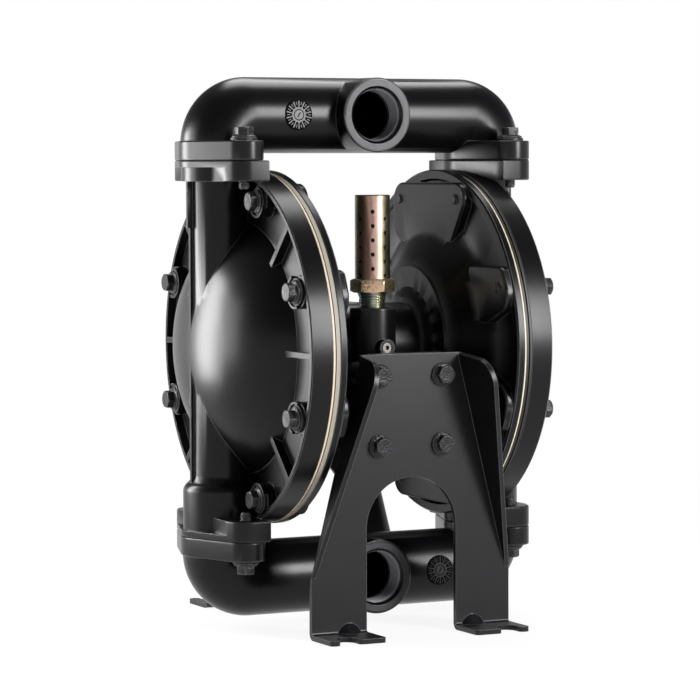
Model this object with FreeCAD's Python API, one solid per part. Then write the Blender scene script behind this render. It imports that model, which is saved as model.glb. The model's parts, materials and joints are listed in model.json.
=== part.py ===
import FreeCAD, Part
import math
import os
from FreeCAD import Vector

# Air-operated double diaphragm pump, in millimetres.
# X runs along the diaphragm rod, -Y is the side of the two ports, Z is up.
# The origin is on the floor, under the middle of the pump.

# Layout of the pump
FLANGE_RADIUS = 160.0
JOINT_GAP = 8.8
PIPE_RISE = 40.7
INLET_HEIGHT = 43.0
PASSAGE_X = 134.5
MANIFOLD_BOLT_Y = 55.0

# Clearances
STATIC_GAP = 0.05
THREAD_GAP = 0.1
RUNNING_GAP = 0.04
BALL_SEAT_GAP = 0.12
DRILL_OVERCUT = 0.6
WASHER_GAP = 0.3
STOP_GAP = 0.3

# How far joined shapes run into each other, and the tolerance for picking edges
SINK = 1.0
TOLERANCE = 1e-3

# Manifolds
PIPE_RADIUS = 34.25
PIPE_WALL = 6.25
ELBOW_BEND = 26.0
MANIFOLD_FLANGE = 17.5
LUG_CENTRE_RADIUS = 36.0
LUG_END_RADIUS = 17.5
LUG_EDGE = 1.5
PORT_RADIUS = 33.7
PORT_EDGE = 1.2
PORT_FACE_Y = 50.7
PORT_THREAD_RADIUS = 23.9
PORT_THREAD_LENGTH = 20.0
PORT_CHAMFER = 2.5
PORT_THROAT_RADIUS = 22.0

# Fluid caps
FLUID_FACE_X = 98.4
RIM_X = 119.3
RIM_LIP = 4.0
RIM_CHAMFER = 1.0
POCKET_DEPTH = 8.3
DOME_APEX_X = 164.0
CROWN_RADIUS = 189.0
CROWN_EDGE = 56.0
SHOULDER_RADIUS = 105.5
CAP_WALL = 7.0
CHAMBER_MOUTH = 118.0
MOUTH_DEPTH = 6.6
PASSAGE_RADIUS = 26.0
PASSAGE_WALL = 6.0
CAGE_RADIUS = 33.5
CAGE_WALL = 6.0
CAGE_HEIGHT = 40.0
CAGE_SHOULDER = 15.0
CAP_FLANGE = 18.6
CAP_FLANGE_BACK_X = 117.8
NOTCH_LIP = 6.0
NOTCH_FLOOR = 18.6
RIDGE_THICKNESS = 3.0
RIDGE_HIGH = 5.3
RIDGE_LOW = 2.9
RIDGE_STEP_DROP = 59.3
RIB_COUNT = 8
RIB_THICKNESS = 5.0
RIB_FOOT = 4.0
BOSS_RADIUS = 14.8
BOSS_RISE = 4.0
SPOT_FACE_RADIUS = 12.7

# Chamber bolts
CHAMBER_BOLTS = 8
BOLT_INSET = 16.5
BOLT_RADIUS = 4.95
BOLT_HOLE_RADIUS = 5.5
BOLT_HEAD_FLAT = 15.0
BOLT_HEAD_RADIUS = 10.9
BOLT_HEAD_FLANGE = 2.6
BOLT_HEAD_HEIGHT = 9.6
WASHER_RADIUS = 12.2
WASHER_THICKNESS = 2.5
BOLT_TIP = 2.2
MANIFOLD_BOLT_TIP = 7.0

# Diaphragms
PTFE_THICKNESS = 2.0
PTFE_SETBACK = 0.4
BACKUP_THICKNESS = 5.4
BACKUP_SETBACK = 0.8
BACKUP_GROOVE_SETBACK = 2.0
BACKUP_GROOVE = 1.2
CONVOLUTION_RISE = 6.5
CONVOLUTION_MARGIN = 4.0

# Air caps
AIR_FLANGE = 4.5
AIR_RIM_RISE = 2.5
AIR_RIM_WIDTH = 8.0
AIR_RIM_CHAMFER = 1.5
PAD_FACE_X = 77.5
BOWL_RADIUS = 118.3
BOWL_STEP_RADIUS = 73.0
BOWL_STEP_CHAMFER = 2.0
BOWL_STEP_X = 60.0
HUB_X = 57.0
HUB_RADIUS = 52.0
NECK_X = 50.0
NECK_RADIUS = 42.0
AIR_FLOOR_X = 67.0
AIR_FLOOR_RADIUS = 72.0
AIR_MOUTH = 117.0
AIR_MOUTH_DEPTH = 1.4
AIR_CONE_RADIUS = 110.7
TOP_PAD_HALF_WIDTH = 70.0
TOP_PAD_HIGH = 148.0
TOP_PAD_SHOULDER = 128.0
TOP_PAD_LOW = 93.0
TOP_PAD_FOOT = 46.0
SIDE_PAD_INNER = 76.0
SIDE_PAD_HIGH = 73.5
SIDE_PAD_SHOULDER = 37.0
SIDE_PAD_LOW = 22.0
SIDE_PAD_FOOT_INNER = 97.0
SIDE_PAD_FOOT_OUTER = 113.0
PAD_CORNER = 17.0
PAD_FOOT_CORNER = 5.0
PAD_SETBACK = 1.5
PAD_EDGE = 2.5

# Diaphragm rod and plates
ROD_RADIUS = 10.0
STUD_RADIUS = 8.0
STUD_REACH = 7.0
AIR_PLATE_RADIUS = 60.0
AIR_PLATE_THICKNESS = 8.0
FLUID_PLATE_RADIUS = 58.0
FLUID_PLATE_THICKNESS = 13.0
PLATE_EDGE = 4.0
HALF_STROKE = 12.0

# Rod bushings and seals
BUSHING_WALL = 3.0
BUSHING_START = 20.0
BUSHING_LENGTH = 23.0
ROD_SEAL_WALL = 4.0
ROD_SEAL_LENGTH = 5.0

# Pilot rod
PILOT_DROP = 24.0
PILOT_RADIUS = 3.5
PILOT_TRAVEL = 5.0

# Joint screws between air caps and centre body
HUB_SCREW_CIRCLE = 28.0
HUB_SCREW_RADIUS = 3.0
HUB_SCREW_HEAD_RADIUS = 5.0
HUB_SCREW_HEAD = 5.0
HUB_SCREW_LENGTH = 32.0

# Centre body
BARREL_RADIUS = 37.5
CHEST_HALF_WIDTH = 40.0
CHEST_HALF_DEPTH = 28.0
CHEST_DROP = 94.5
CHEST_CORNER = 8.0
WEB_HALF_WIDTH = 24.0
WEB_DROP = 84.5
WEB_TOP_DROP = 12.5
PAD_HALF_WIDTH = 39.5
PAD_DROP = 96.5
PAD_TOP_DROP = 2.5
PAD_THICKNESS = 14.0
PAD_FACE_Y = 111.0
FOOT_BOSS_RADIUS = 10.5
FOOT_BOSS_LENGTH = 40.0

# Exhaust boss and silencer
EXHAUST_Y = -40.0
EXHAUST_BOSS_RADIUS = 21.0
EXHAUST_BOSS_RISE = 35.5
EXHAUST_BOSS_EDGE = 1.5
EXHAUST_THREAD_RADIUS = 13.2
EXHAUST_DEPTH = 20.0
SILENCER_NECK = 13.5
SILENCER_HEX_FLAT = 35.5
SILENCER_HEX_HEIGHT = 12.5
SILENCER_HEX_TURN = 33.5
SILENCER_RADIUS = 16.0
SILENCER_WALL = 1.6
SILENCER_LENGTH = 75.0
SILENCER_BORE = 9.0
SILENCER_HOLE_RADIUS = 1.85
SILENCER_HOLE_ROWS = 8
SILENCER_HOLES = 5
SILENCER_HOLE_PITCH = 12.7
SILENCER_FIRST_HOLE = 15.0
SILENCER_HOLE_TURN = 18.5
PACKING_WALL = 3.0

# Plug screw in front of the exhaust boss
PLUG_BOSS_RADIUS = 7.6
PLUG_BOSS_Y = 69.5
PLUG_RADIUS = 4.5
PLUG_LENGTH = 8.0
PLUG_SOCKET_FLAT = 4.0
PLUG_SOCKET_DEPTH = 3.0
PLUG_SINK = 0.8

# Air valve
VALVE_Y = 65.0
VALVE_RISE = 13.5
VALVE_HALF_WIDTH = 36.0
VALVE_HALF_DEPTH = 28.0
VALVE_HALF_HEIGHT = 22.0
VALVE_CORNER = 6.0
SPOOL_RADIUS = 10.0
SPOOL_GROOVE_RADIUS = 6.5
SPOOL_LAND = 9.0
SPOOL_HALF_LENGTH = 29.0
SLEEVE_WALL = 4.0
SLEEVE_PORT_RADIUS = 3.0
COVER_THICKNESS = 6.0
COVER_EDGE = 2.0
COVER_SCREW_INSET = 7.0
COVER_SCREW_RADIUS = 2.5
COVER_SCREW_HEAD_RADIUS = 4.2
COVER_SCREW_HEAD = 4.0
COVER_SCREW_LENGTH = 18.0
GASKET_THICKNESS = 1.0
INLET_BOSS_RADIUS = 17.0
INLET_FACE_Y = 99.0
INLET_THREAD_RADIUS = 10.48
INLET_THREAD_LENGTH = 15.0
INLET_CHAMFER = 1.0
AIR_DRILL_RADIUS = 5.0
EXHAUST_DRILL_RISE = 21.5

# Ball checks
BALL_RADIUS = 22.2
BALL_LIFT = 10.0
SEAT_RING_RADIUS = 31.5
SEAT_RING_HEIGHT = 9.0
SEAT_BORE = 14.5
SEAT_CONE = 4.0
SEAT_SEAL_SECTION = 1.8
GUIDE_THICKNESS = 5.0
GUIDE_CLEARANCE = 0.5
UPPER_GUIDE_HEIGHT = 30.0

# Foot brackets
SHEET = 4.5
BRACKET_TOP_DROP = 2.7
BRACKET_TOP_HALF = 51.0
LEG_OUTER = 99.0
LEG_INNER = 44.7
LEG_KNEE_Z = 55.0
ARCH_TOP = 140.0
GUSSET_DEPTH = 49.0
GUSSET_FLARE = 5.0
GUSSET_SLOPE = 5.7
GUSSET_NOSE_DEPTH = 11.0
GUSSET_NOSE_HEIGHT = 15.4
FOOT_REACH = 155.0
FOOT_CORNER = 4.0
FOOT_DART_X = 62.0
FOOT_DART_RADIUS = 14.0
FOOT_DART_REACH = 9.0
BEND_RADIUS = 6.5
INNER_BEND_RADIUS = 2.0
SLOT_X = 80.0
SLOT_WIDTH = 18.0
SLOT_DEPTH = 19.0
FOOT_BOLT_X = 31.4
FOOT_BOLT_HIGH_DROP = 22.0
FOOT_BOLT_LOW_DROP = 84.0
FOOT_BOLT_GRIP = 20.0

# Values worked out from the ones above
X_AXIS = Vector(1, 0, 0)
Y_AXIS = Vector(0, 1, 0)
Z_AXIS = Vector(0, 0, 1)
JOINT_RISE = FLANGE_RADIUS + JOINT_GAP
MANIFOLD_RISE = JOINT_RISE + PIPE_RISE
ROD_Z = INLET_HEIGHT + MANIFOLD_RISE
ROD_CENTRE = Vector(0, 0, ROD_Z)
UPPER_JOINT = ROD_Z + JOINT_RISE
LOWER_JOINT = ROD_Z - JOINT_RISE
OUTLET_Z = ROD_Z + MANIFOLD_RISE
PIPE_BORE = PIPE_RADIUS - PIPE_WALL
PASSAGE_BORE = PASSAGE_RADIUS - PASSAGE_WALL
CAGE_BORE = CAGE_RADIUS - CAGE_WALL
POCKET_X = RIM_X - POCKET_DEPTH
POCKET_RADIUS = FLANGE_RADIUS - RIM_LIP
BOLT_CIRCLE = FLANGE_RADIUS - BOLT_INSET
PTFE_RIM = FLANGE_RADIUS - PTFE_SETBACK
BACKUP_RIM = FLANGE_RADIUS - BACKUP_SETBACK
BACKUP_GROOVE_RIM = FLANGE_RADIUS - BACKUP_GROOVE_SETBACK
PAD_OUTER_RADIUS = FLANGE_RADIUS - PAD_SETBACK
RIDGE_STEP_Z = UPPER_JOINT - RIDGE_STEP_DROP
AIR_FACE_X = FLUID_FACE_X - PTFE_THICKNESS - BACKUP_THICKNESS
AIR_BACK_X = AIR_FACE_X - AIR_FLANGE
CROWN_CENTRE_X = DOME_APEX_X - CROWN_RADIUS
CROWN_TILT = math.asin(CROWN_EDGE / CROWN_RADIUS)
SHOULDER_CENTRE_X = CROWN_CENTRE_X + (CROWN_RADIUS - SHOULDER_RADIUS) * math.cos(CROWN_TILT)
SHOULDER_CENTRE_R = (CROWN_RADIUS - SHOULDER_RADIUS) * math.sin(CROWN_TILT)
AIR_PLATE_X = AIR_FACE_X - AIR_PLATE_THICKNESS
HUB_SCREW_SEAT_X = AIR_FLOOR_X - HUB_SCREW_HEAD
PILOT_Z = ROD_Z - PILOT_DROP
PILOT_HALF_LENGTH = AIR_PLATE_X - HALF_STROKE - STOP_GAP + PILOT_TRAVEL
PLATE_OUTER_Y = PAD_FACE_Y + SHEET
CHEST_BOTTOM = ROD_Z - CHEST_DROP
WEB_BOTTOM = ROD_Z - WEB_DROP
WEB_TOP = ROD_Z - WEB_TOP_DROP
PAD_BOTTOM = ROD_Z - PAD_DROP
PAD_TOP = ROD_Z - PAD_TOP_DROP
EXHAUST_BOSS_TOP = ROD_Z + EXHAUST_BOSS_RISE
VALVE_Z = ROD_Z + VALVE_RISE
EXHAUST_DRILL_Z = ROD_Z + EXHAUST_DRILL_RISE
BRACKET_TOP = ROD_Z - BRACKET_TOP_DROP
FOOT_BOLT_HIGH = ROD_Z - FOOT_BOLT_HIGH_DROP
FOOT_BOLT_LOW = ROD_Z - FOOT_BOLT_LOW_DROP
SLEEVE_RADIUS = SPOOL_RADIUS + RUNNING_GAP + SLEEVE_WALL
BALL_CONTACT = BALL_RADIUS * math.sqrt(0.5)
BALL_REST_RISE = 2 * BALL_CONTACT - SEAT_BORE - SEAT_CONE + BALL_SEAT_GAP
LOWER_BALL_Z = LOWER_JOINT + BALL_REST_RISE
UPPER_BALL_Z = UPPER_JOINT + BALL_REST_RISE
NARROW_Z = LOWER_JOINT + CAGE_HEIGHT + CAGE_SHOULDER
CHAMBER_HEAD_X = RIM_X + WASHER_THICKNESS
CAGE_TOP_Z = LOWER_BALL_Z + BALL_RADIUS + BALL_LIFT + STOP_GAP


def box(x0, x1, y0, y1, z0, z1):
    return Part.makeBox(x1 - x0, y1 - y0, z1 - z0, Vector(x0, y0, z0))


def rod_between(radius, start, end):
    span = end - start
    return Part.makeCylinder(radius, span.Length, start, span)


def along_x(radius, x0, x1, y=0.0, z=ROD_Z):
    return rod_between(radius, Vector(x0, y, z), Vector(x1, y, z))


def along_y(radius, y0, y1, x=0.0, z=ROD_Z):
    return rod_between(radius, Vector(x, y0, z), Vector(x, y1, z))


def along_z(radius, z0, z1, x=0.0, y=0.0):
    return rod_between(radius, Vector(x, y, z0), Vector(x, y, z1))


def joined(shapes):
    first, rest = shapes[0], shapes[1:]
    return first.fuse(rest).removeSplitter()


def bared(shape, cutters):
    return shape.cut(cutters).removeSplitter()


def mirrored_x(shape):
    return shape.mirror(Vector(0, 0, 0), X_AXIS)


def mirrored_y(shape):
    return shape.mirror(Vector(0, 0, 0), Y_AXIS)


def polygon_face(points):
    return Part.Face(Part.makePolygon(points + [points[0]]))


def arc(start, middle, end):
    return Part.Arc(start, middle, end).toShape()


def turned(profile):
    """Solid turned about the rod axis from (x, radius) pairs."""
    face = polygon_face([Vector(x, 0, ROD_Z + r) for x, r in profile])
    return face.revolve(ROD_CENTRE, X_AXIS, 360)


def turned_upright(profile, x, y):
    """Solid turned about a vertical axis from (radius, z) pairs."""
    face = polygon_face([Vector(x + r, y, z) for r, z in profile])
    return face.revolve(Vector(x, y, 0), Z_AXIS, 360)


def around_rod(shape, degrees):
    copy = shape.copy()
    copy.rotate(ROD_CENTRE, X_AXIS, degrees)
    return copy


def chamber_bolt_angles():
    step = 360.0 / CHAMBER_BOLTS
    return [step * (k + 0.5) for k in range(CHAMBER_BOLTS)]


def chamber_bolt_spot(degrees):
    turn = math.radians(degrees)
    return BOLT_CIRCLE * math.cos(turn), ROD_Z + BOLT_CIRCLE * math.sin(turn)


def chamber_holes(radius, x0, x1):
    spots = [chamber_bolt_spot(a) for a in chamber_bolt_angles()]
    return [along_x(radius, x0, x1, y, z) for y, z in spots]


def rounded_block(x0, x1, y0, y1, z0, z1, radius, axis):
    block = box(x0, x1, y0, y1, z0, z1)
    edges = [e for e in block.Edges if runs_along(e, axis)]
    return block.makeFillet(radius, edges)


def runs_along(edge, axis):
    run = edge.Vertexes[-1].Point - edge.Vertexes[0].Point
    return abs(abs(run.dot(axis)) - run.Length) < TOLERANCE


def level_edges(shape, *heights):
    """Edges that lie flat at one of the heights."""
    flat = [e for e in shape.Edges if e.BoundBox.ZLength < TOLERANCE]
    return [e for e in flat if any(abs(e.BoundBox.ZMin - z) < TOLERANCE for z in heights)]


def hexagon(across_flats, centre, axis, height, first_corner=0.0):
    """Hexagonal prism; first_corner turns it about its own axis, in degrees."""
    radius = across_flats / math.sqrt(3)
    side = X_AXIS if abs(axis.x) < 0.5 else Z_AXIS
    other = axis.cross(side)
    corners = []
    for k in range(6):
        turn = math.radians(first_corner + 60 * k)
        corners.append(centre + side * (radius * math.cos(turn)) + other * (radius * math.sin(turn)))
    return polygon_face(corners).extrude(axis * height)


def flange_bolt(seat, inward, length, overall_head=BOLT_HEAD_HEIGHT):
    """Hexagon flange bolt: seat is under the head, inward points to the tip."""
    out = inward * -1
    collar = Part.makeCylinder(BOLT_HEAD_RADIUS, BOLT_HEAD_FLANGE, seat, out)
    head = hexagon(BOLT_HEAD_FLAT, seat, out, overall_head)
    shank = Part.makeCylinder(BOLT_RADIUS, length, seat, inward)
    return joined([shank, collar, head])


def washer(seat, out):
    ring = Part.makeCylinder(WASHER_RADIUS, WASHER_THICKNESS, seat, out)
    return ring.cut(Part.makeCylinder(BOLT_RADIUS + WASHER_GAP, WASHER_THICKNESS, seat, out))


def lug_corners(centre_radius, end_radius, pitch):
    """Tangent points between the middle circle and the two end circles."""
    tilt = math.asin((centre_radius - end_radius) / pitch)
    cx, cy = centre_radius * math.cos(tilt), centre_radius * math.sin(tilt)
    ex, ey = end_radius * math.cos(tilt), pitch + end_radius * math.sin(tilt)
    return (cx, cy), (ex, ey)


def lug_prism(z0, z1):
    """Outline of the two-bolt flange round a passage, on the -X side, drawn up."""
    (cx, cy), (ex, ey) = lug_corners(LUG_CENTRE_RADIUS, LUG_END_RADIUS, MANIFOLD_BOLT_Y)
    tip = MANIFOLD_BOLT_Y + LUG_END_RADIUS

    def at(x, y):
        return Vector(-PASSAGE_X + x, y, z0)

    edges = [
        arc(at(-cx, -cy), at(-LUG_CENTRE_RADIUS, 0), at(-cx, cy)),
        Part.makeLine(at(-cx, cy), at(-ex, ey)),
        arc(at(-ex, ey), at(0, tip), at(ex, ey)),
        Part.makeLine(at(ex, ey), at(cx, cy)),
        arc(at(cx, cy), at(LUG_CENTRE_RADIUS, 0), at(cx, -cy)),
        Part.makeLine(at(cx, -cy), at(ex, -ey)),
        arc(at(ex, -ey), at(0, -tip), at(-ex, -ey)),
        Part.makeLine(at(-ex, -ey), at(-cx, -cy)),
    ]
    return Part.Face(Part.Wire(edges)).extrude(Vector(0, 0, z1 - z0))


def lug_plate(z0, z1):
    """Two-bolt flange of a manifold with rounded edges."""
    plate = lug_prism(z0, z1)
    return plate.makeFillet(LUG_EDGE, level_edges(plate, z0, z1))


def manifold_holes(radius, z0, z1):
    return [along_z(radius, z0, z1, -PASSAGE_X, side * MANIFOLD_BOLT_Y) for side in (-1, 1)]


def elbow(radius):
    """Quarter bend on the -X side; its inner half ends on the bend axis."""
    pivot = Vector(-PASSAGE_X + ELBOW_BEND, 0, OUTLET_Z - ELBOW_BEND)
    reach = ELBOW_BEND + radius
    half = math.sqrt(radius ** 2 - ELBOW_BEND ** 2)
    wire = Part.Wire([
        arc(pivot + Vector(0, half, 0), pivot + Vector(-reach, 0, 0), pivot + Vector(0, -half, 0)),
        Part.makeLine(pivot + Vector(0, -half, 0), pivot + Vector(0, half, 0)),
    ])
    return Part.Face(wire).revolve(pivot, Y_AXIS, 90)


def manifold_run(radius, foot_z):
    """Pipe across the top with a bend and an upright leg at each end."""
    bend_x = PASSAGE_X - ELBOW_BEND
    pieces = [along_x(radius, -bend_x, bend_x, 0.0, OUTLET_Z)]
    leg = along_z(radius, foot_z, OUTLET_Z - ELBOW_BEND, -PASSAGE_X)
    for piece in (leg, elbow(radius)):
        pieces += [piece, mirrored_x(piece)]
    return joined(pieces)


def guide_ribs(bore, z0, z1, angles):
    """Upright ribs that keep a ball on its axis, on the -X side."""
    inner = BALL_RADIUS + GUIDE_CLEARANCE
    ribs = []
    for angle in angles:
        rib = box(inner, bore + CAGE_WALL / 2, -GUIDE_THICKNESS / 2, GUIDE_THICKNESS / 2, z0, z1)
        rib.rotate(Vector(0, 0, 0), Z_AXIS, angle)
        rib.translate(Vector(-PASSAGE_X, 0, 0))
        ribs.append(rib)
    return ribs


def seat_recess(z0, z1):
    return along_z(SEAT_RING_RADIUS + STATIC_GAP, z0, z1, -PASSAGE_X)


def make_manifold(holds_seats, stops_balls):
    """Outlet manifold; the inlet one is the same casting turned over."""
    lugs = lug_plate(UPPER_JOINT, UPPER_JOINT + MANIFOLD_FLANGE)
    port = along_y(PORT_RADIUS, -PORT_FACE_Y, 0, 0, OUTLET_Z)
    port = port.makeFillet(PORT_EDGE, [e for e in port.Edges if e.BoundBox.YMax < TOLERANCE - PORT_FACE_Y])
    casting = joined([manifold_run(PIPE_RADIUS, UPPER_JOINT), lugs, mirrored_x(lugs), port])
    flow = manifold_run(PIPE_BORE, UPPER_JOINT)
    if stops_balls:
        ribs = guide_ribs(PIPE_BORE, UPPER_JOINT, UPPER_JOINT + UPPER_GUIDE_HEIGHT, (90, 180, 270))
        stop_z = UPPER_BALL_Z + BALL_RADIUS + BALL_LIFT + STOP_GAP
        half = GUIDE_THICKNESS / 2
        ribs.append(box(-PASSAGE_X - PIPE_BORE, -PASSAGE_X + half, -half, half, stop_z, OUTLET_Z + PIPE_RADIUS))
        flow = flow.cut(ribs + [mirrored_x(rib) for rib in ribs])
    mouth_y = PORT_FACE_Y - PORT_CHAMFER
    thread_end = mouth_y - PORT_THREAD_LENGTH
    bevel = Part.makeCone(PORT_THREAD_RADIUS + PORT_CHAMFER, PORT_THREAD_RADIUS, PORT_CHAMFER,
                          Vector(0, -PORT_FACE_Y, OUTLET_Z), Y_AXIS)
    cutters = [
        flow,
        along_y(PORT_THREAD_RADIUS, -mouth_y, -thread_end, 0, OUTLET_Z),
        along_y(PORT_THROAT_RADIUS, -thread_end, 0, 0, OUTLET_Z),
        bevel,
    ]
    holes = manifold_holes(BOLT_HOLE_RADIUS, UPPER_JOINT, UPPER_JOINT + MANIFOLD_FLANGE)
    if holds_seats:
        holes.append(seat_recess(UPPER_JOINT, UPPER_JOINT + SEAT_RING_HEIGHT + STATIC_GAP))
    cutters += holes + [mirrored_x(hole) for hole in holes]
    return bared(casting, cutters)


def turned_over(shape):
    """Mirror image below the rod axis."""
    return shape.mirror(ROD_CENTRE, Z_AXIS)


def dome_edges(offset, low_x):
    """Shoulder and crown arcs of the dome, from (low_x, r) to the axis."""
    shoulder, crown = SHOULDER_RADIUS - offset, CROWN_RADIUS - offset

    def at(cx, cr, radius, angle):
        return Vector(cx + radius * math.cos(angle), 0, ROD_Z + cr + radius * math.sin(angle))

    low = math.acos((low_x - SHOULDER_CENTRE_X) / shoulder)
    start = at(SHOULDER_CENTRE_X, SHOULDER_CENTRE_R, shoulder, low)
    shoulder_mid = at(SHOULDER_CENTRE_X, SHOULDER_CENTRE_R, shoulder, (low + CROWN_TILT) / 2)
    meet = at(CROWN_CENTRE_X, 0, crown, CROWN_TILT)
    crown_mid = at(CROWN_CENTRE_X, 0, crown, CROWN_TILT / 2)
    apex = at(CROWN_CENTRE_X, 0, crown, 0)
    return start, apex, [arc(start, shoulder_mid, meet), arc(meet, crown_mid, apex)]


def domed(profile, offset, low_x):
    """Turned solid whose outline ends in the dome's two arcs."""
    start, apex, curves = dome_edges(offset, low_x)
    points = [Vector(x, 0, ROD_Z + r) for x, r in profile] + [start]
    lines = [Part.makeLine(a, b) for a, b in zip(points, points[1:])]
    wire = Part.Wire(lines + curves + [Part.makeLine(apex, points[0])])
    return Part.Face(wire).revolve(ROD_CENTRE, X_AXIS, 360)


def cap_shell():
    return domed([
        (FLUID_FACE_X, 0),
        (FLUID_FACE_X, FLANGE_RADIUS),
        (RIM_X - RIM_CHAMFER, FLANGE_RADIUS),
        (RIM_X, FLANGE_RADIUS - RIM_CHAMFER),
        (RIM_X, POCKET_RADIUS),
        (POCKET_X, POCKET_RADIUS - RIM_CHAMFER),
    ], 0.0, POCKET_X)


def cap_chamber():
    return domed([(FLUID_FACE_X, 0), (FLUID_FACE_X, CHAMBER_MOUTH)], CAP_WALL, FLUID_FACE_X + MOUTH_DEPTH)


def cap_passage():
    """Upright passage with the wide ball cage at its foot, joined by an S bend."""
    step = CAGE_RADIUS - PASSAGE_RADIUS
    bend = (step ** 2 + CAGE_SHOULDER ** 2) / (4 * step)
    half_turn = math.asin(CAGE_SHOULDER / (2 * bend)) / 2
    sag, rise = bend * (1 - math.cos(half_turn)), bend * math.sin(half_turn)
    cage_top = NARROW_Z - CAGE_SHOULDER

    def at(r, z):
        return Vector(PASSAGE_X + r, 0, z)

    middle = at(CAGE_RADIUS - step / 2, cage_top + CAGE_SHOULDER / 2)
    corners = [at(PASSAGE_RADIUS, NARROW_Z), at(PASSAGE_RADIUS, UPPER_JOINT), at(0, UPPER_JOINT),
               at(0, LOWER_JOINT), at(CAGE_RADIUS, LOWER_JOINT), at(CAGE_RADIUS, cage_top)]
    edges = [Part.makeLine(a, b) for a, b in zip(corners, corners[1:])]
    edges.append(arc(corners[-1], at(CAGE_RADIUS - sag, cage_top + rise), middle))
    edges.append(arc(middle, at(PASSAGE_RADIUS + sag, NARROW_Z - rise), corners[0]))
    return Part.Face(Part.Wire(edges)).revolve(Vector(PASSAGE_X, 0, 0), Z_AXIS, 360)


def cap_ridge():
    """Parting ridge down the outer side of the passage, lower below a step."""
    half = RIDGE_THICKNESS / 2
    outer = PASSAGE_X + PASSAGE_RADIUS
    foot = NARROW_Z - CAGE_SHOULDER / 2
    return [box(PASSAGE_X, outer + RIDGE_LOW, -half, half, foot, RIDGE_STEP_Z),
            box(PASSAGE_X, outer + RIDGE_HIGH, -half, half, RIDGE_STEP_Z - SINK, UPPER_JOINT - SINK)]


def cap_lugs(z0, z1):
    """Two-bolt flange squared off towards the chamber flange."""
    tip = MANIFOLD_BOLT_Y + LUG_END_RADIUS
    square = box(CAP_FLANGE_BACK_X, PASSAGE_X, -tip, tip, z0, z1)
    plate = joined([mirrored_x(lug_prism(z0, z1)), square])
    return plate.makeFillet(LUG_EDGE, level_edges(plate, z0, z1))


def cap_notch(z0, z1):
    """Open pocket along the outer flank of a flange, round a collar."""
    tip = MANIFOLD_BOLT_Y + LUG_END_RADIUS
    flank = box(PASSAGE_X + NOTCH_FLOOR, PASSAGE_X + LUG_CENTRE_RADIUS, -tip, tip, z0, z1)
    return flank.cut(along_z(CAGE_RADIUS, z0, z1, PASSAGE_X))


def cap_bosses():
    """Posts under the chamber bolts, each with a crescent wall on the dome side."""
    bosses = []
    for angle in chamber_bolt_angles():
        post = along_x(BOSS_RADIUS, POCKET_X - SINK, RIM_X + BOSS_RISE, BOLT_CIRCLE)
        rim_side = box(RIM_X, RIM_X + BOSS_RISE, BOLT_CIRCLE, BOLT_CIRCLE + 2 * BOSS_RADIUS,
                       ROD_Z - BOSS_RADIUS, ROD_Z + BOSS_RADIUS)
        bosses.append(around_rod(post.cut(rim_side), angle))
    return bosses


def cap_ribs():
    inner = CHAMBER_MOUTH - CAP_WALL - RIB_FOOT
    rib = box(POCKET_X - SINK, RIM_X, inner, POCKET_RADIUS, ROD_Z - RIB_THICKNESS / 2,
              ROD_Z + RIB_THICKNESS / 2)
    return [around_rod(rib, 360.0 * k / RIB_COUNT) for k in range(RIB_COUNT)]


def make_fluid_cap():
    """Right fluid cap: dome, passage, ball cage, flanges, ribs and bosses."""
    top = cap_lugs(UPPER_JOINT - CAP_FLANGE, UPPER_JOINT)
    foot = cap_lugs(LOWER_JOINT, LOWER_JOINT + CAP_FLANGE)
    casting = joined([cap_shell(), cap_passage(), top, foot] + cap_ridge() + cap_ribs() + cap_bosses())
    cage = along_z(CAGE_BORE, LOWER_JOINT, CAGE_TOP_Z, PASSAGE_X)
    ribs = guide_ribs(CAGE_BORE, LOWER_JOINT, CAGE_TOP_Z, (45, 135, 225, 315))
    cage = cage.cut([mirrored_x(rib) for rib in ribs])
    cutters = [
        cap_chamber(),
        cage,
        along_z(PASSAGE_BORE, CAGE_TOP_Z, UPPER_JOINT, PASSAGE_X),
        mirrored_x(seat_recess(UPPER_JOINT - SEAT_RING_HEIGHT - STATIC_GAP, UPPER_JOINT)),
    ]
    cutters.append(cap_notch(UPPER_JOINT - CAP_FLANGE, UPPER_JOINT - NOTCH_LIP))
    cutters.append(cap_notch(LOWER_JOINT + NOTCH_LIP, LOWER_JOINT + CAP_FLANGE))
    for z0 in (UPPER_JOINT - CAP_FLANGE, LOWER_JOINT):
        cutters += [mirrored_x(hole) for hole in manifold_holes(BOLT_RADIUS + THREAD_GAP, z0, z0 + CAP_FLANGE)]
    cutters += chamber_holes(SPOT_FACE_RADIUS, RIM_X, DOME_APEX_X)
    cutters += chamber_holes(BOLT_HOLE_RADIUS, FLUID_FACE_X, RIM_X)
    return bared(casting, cutters)


def air_cap_shell():
    rim_x = AIR_BACK_X - AIR_RIM_RISE
    return turned([
        (AIR_FACE_X, 0),
        (AIR_FACE_X, FLANGE_RADIUS),
        (rim_x + AIR_RIM_CHAMFER, FLANGE_RADIUS),
        (rim_x, FLANGE_RADIUS - AIR_RIM_CHAMFER),
        (rim_x, FLANGE_RADIUS - AIR_RIM_WIDTH),
        (AIR_BACK_X, FLANGE_RADIUS - AIR_RIM_WIDTH - AIR_RIM_RISE),
        (AIR_BACK_X, BOWL_RADIUS),
        (BOWL_STEP_X, BOWL_STEP_RADIUS),
        (HUB_X, BOWL_STEP_RADIUS - BOWL_STEP_CHAMFER),
        (HUB_X, HUB_RADIUS),
        (NECK_X, NECK_RADIUS),
        (NECK_X, 0),
    ])


def air_chamber():
    return turned([
        (AIR_FACE_X, 0),
        (AIR_FACE_X, AIR_MOUTH),
        (AIR_FACE_X - AIR_MOUTH_DEPTH, AIR_CONE_RADIUS),
        (AIR_FLOOR_X, AIR_FLOOR_RADIUS),
        (AIR_FLOOR_X, 0),
    ])


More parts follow.
